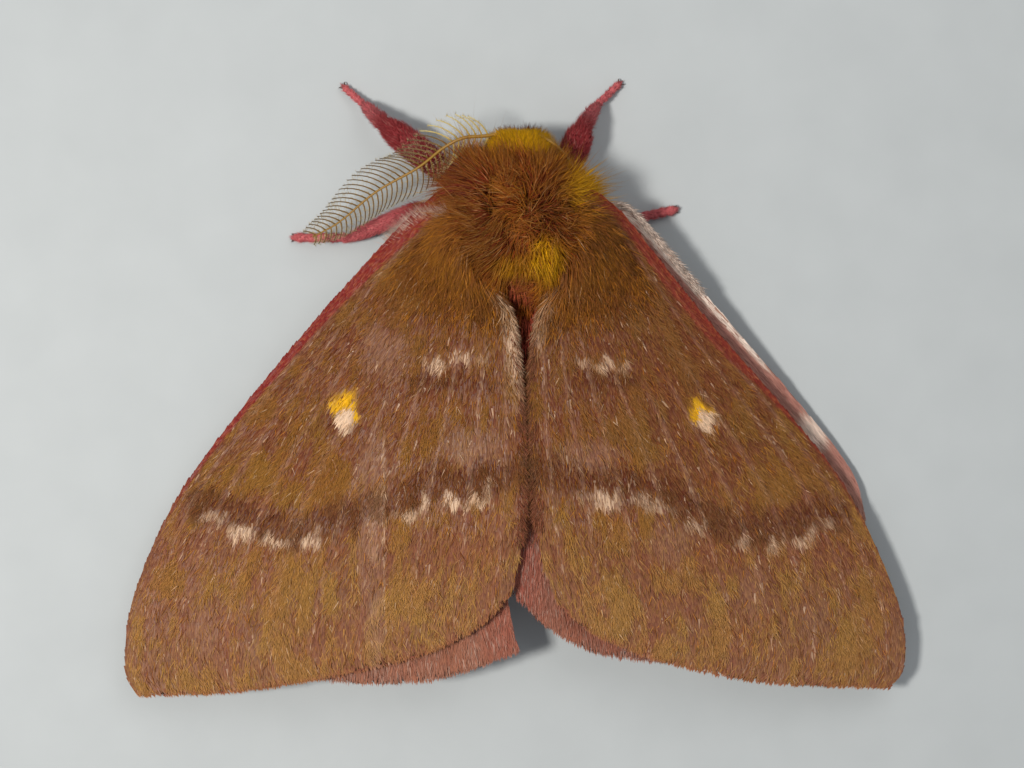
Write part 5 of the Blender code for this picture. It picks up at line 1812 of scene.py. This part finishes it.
def antenna_line(antenna):
    middle, way = np.array([0.0, *HEAD_MIDDLE]), unit(np.array(antenna["root"]))
    half = np.array([HEAD_HALF[0] + 0.15, *HEAD_HALF[1:]])
    root = middle + way / np.linalg.norm(way / half)
    normal = unit((root - middle) / half**2)
    socket = [root + normal * height for height in (-0.3, 0.3, 0.6)]
    return smooth_path([*socket, *antenna["path"]], 6)


def ramus_line(line, share, side, antenna):
    """The curve of one side branch, and how long it is."""
    spot, ahead = at_shares(line, np.array([share, min(1.0, share + 0.01)]))
    along = unit(ahead - spot) if share < 0.995 else unit(line[-1] - line[-2])
    out = np.array(antenna["upper"]) * side
    out = unit(out - along * out.dot(along))
    length = antenna["longest"] * math.sin(math.pi * (0.14 + 0.8 * share)) ** 0.7
    if side < 0:
        length *= 0.8
    points = [spot]
    for step in range(5):
        angle = math.radians(antenna["leave"] + (antenna["arrive"] - antenna["leave"]) * step / 4)
        points.append(points[-1] + (along * math.cos(angle) + out * math.sin(angle)) * length / 5)
    return np.array(points), np.cross(along, out)


# %% Antenna finishes
def antenna_finish(name, root_colour, tip_colour, roughness):
    """Horn that turns from gold at the shaft to olive at the tips, by the share along a branch."""
    made, tree, shader = new_material(name)
    grain = streaks(tree, 8000.0, 8000.0).outputs["Mask"]
    share = node(tree, "ShaderNodeAttribute", attribute_name="share").outputs["Fac"]
    colour = mix(tree, share, root_colour, tip_colour)
    worn = mix(tree, grain, mix(tree, 0.35, colour, tone(70, 50, 24)), colour)
    tree.links.new(worn, shader.inputs["Base Color"])
    set_shader(shader, roughness=roughness)
    return made


SHAFT_FINISH = antenna_finish("antenna_shaft", tone(160, 118, 34), tone(146, 110, 32), 0.45)
RAMUS_FINISHES = {
    "branches": antenna_finish("antenna_branch", tone(132, 98, 32), tone(78, 62, 32), 0.5),
    "base_branches": antenna_finish(
        "antenna_base_branch", tone(200, 168, 74), tone(212, 196, 128), 0.5
    ),
}


# %% Antennae
def ramus_veil(points, normal, pair, turn, draw):
    """Fine hair that leaves a side branch on both its sides."""
    count, ways = VEIL_STRANDS, line_directions(points)
    t = draw.uniform(0.05, 1.0, count)
    place = at_shares(points, t)
    hand = np.where(draw.random(count) > 0.5, 1.0, -1.0)[:, None]
    ahead = np.array([ways[min(5, int(v * 5))] for v in t])
    lie = unit(np.cross(ahead, normal)) * hand + ahead * 0.5
    lie = unit(lie + draw.normal(0, 0.12, (count, 3)))
    size = draw.uniform(0.16, 0.26, count)[:, None]
    return {
        "line": np.stack([place, place + lie * size], 1),
        "side": unit(np.cross(lie, normal)),
        "over": np.broadcast_to(unit(normal), (count, 3)),
        "width": np.full(count, VEIL_WIDTH),
        "s": (pair + 0.5 + 0.0 * t) / RAMUS_PAIRS,
        "t": 0.5 + 0.48 * t * turn,
    }


def place_antenna(side, index):
    name, antenna = f"antenna_{side}", ANTENNAE[side]
    line = antenna_line(antenna)
    radii = np.interp(np.linspace(0, 1, len(line)), *SHAFT_RADII)
    shaft = drawn_tube(tube_stations(line, radii, face=(0.1, 0.2, 1)), 14)
    settle(skin_mesh(shaft, f"{name}_shaft"), SHAFT_FINISH, "antenna", name)
    draw = np.random.default_rng(160 + index)
    tubes, batches = {label: [] for label in RAMUS_FINISHES}, []
    for pair in range(RAMUS_PAIRS):
        share = antenna["first"] + (LAST_RAMUS - antenna["first"]) * pair / (RAMUS_PAIRS - 1)
        for turn in (1, -1):
            points, normal = ramus_line(line, share, turn, antenna)
            rings = tube_stations(points, np.linspace(*RAMUS_RADII, len(points)), normal)
            label = "base_branches" if pair < BASE_PAIRS else "branches"
            tubes[label].append(drawn_tube(rings, 5))
            batches.append(ramus_veil(points, normal, pair, turn, draw))
    for label, finish in RAMUS_FINISHES.items():
        mesh = skin_mesh(gathered(tubes[label]), f"{name}_{label}")
        settle(mesh, finish, "antenna", name)
    veil = joined(batches)
    count = len(veil["width"])
    marks = np.stack([0.4 * draw.random(count)] + [np.zeros(count)] * 3, -1)
    shade = draw.random(count)
    settle_coat(f"{name}_veil", "antenna_veil", "antenna", veil, marks, shade, [name])


for index, side in enumerate(ANTENNAE):
    place_antenna(side, index)

# %% [markdown]
# ## Floor
# The floor is part of the studio and not of the moth. It is a flat sheet in a pale grey with a
# hint of a painted wall's grain, so that the shadow under the wings has something to fall on.

# %% Floor
FLOOR_HALF = 600.0


def place_floor():
    bm = bmesh.new()
    bmesh.ops.create_grid(bm, x_segments=4, y_segments=4, size=FLOOR_HALF * MM)
    mesh = bpy.data.meshes.new("floor")
    bm.to_mesh(mesh)
    bm.free()
    made, tree, shader = new_material("floor")
    place = node(tree, "ShaderNodeTexCoord").outputs["Object"]
    inputs = {"Vector": place, "Scale": 220.0, "Detail": 3.0}
    grain = node(tree, "ShaderNodeTexNoise", inputs).outputs["Fac"]
    colour = mix(tree, grain, tone(168, 174, 177), tone(178, 184, 187))
    tree.links.new(colour, shader.inputs["Base Color"])
    add_bump(tree, shader, grain, 0.15, 0.1)
    set_shader(shader, roughness=0.6)
    mesh.materials.append(made)
    stand("floor", mesh)


place_floor()

# %% [markdown]
# ## Triangles
# The triangles of all the pieces are counted, and the sum is printed.

# %% Triangle count
bpy.context.view_layer.update()
print("triangles in all:", sum(piece_sizes.values()))
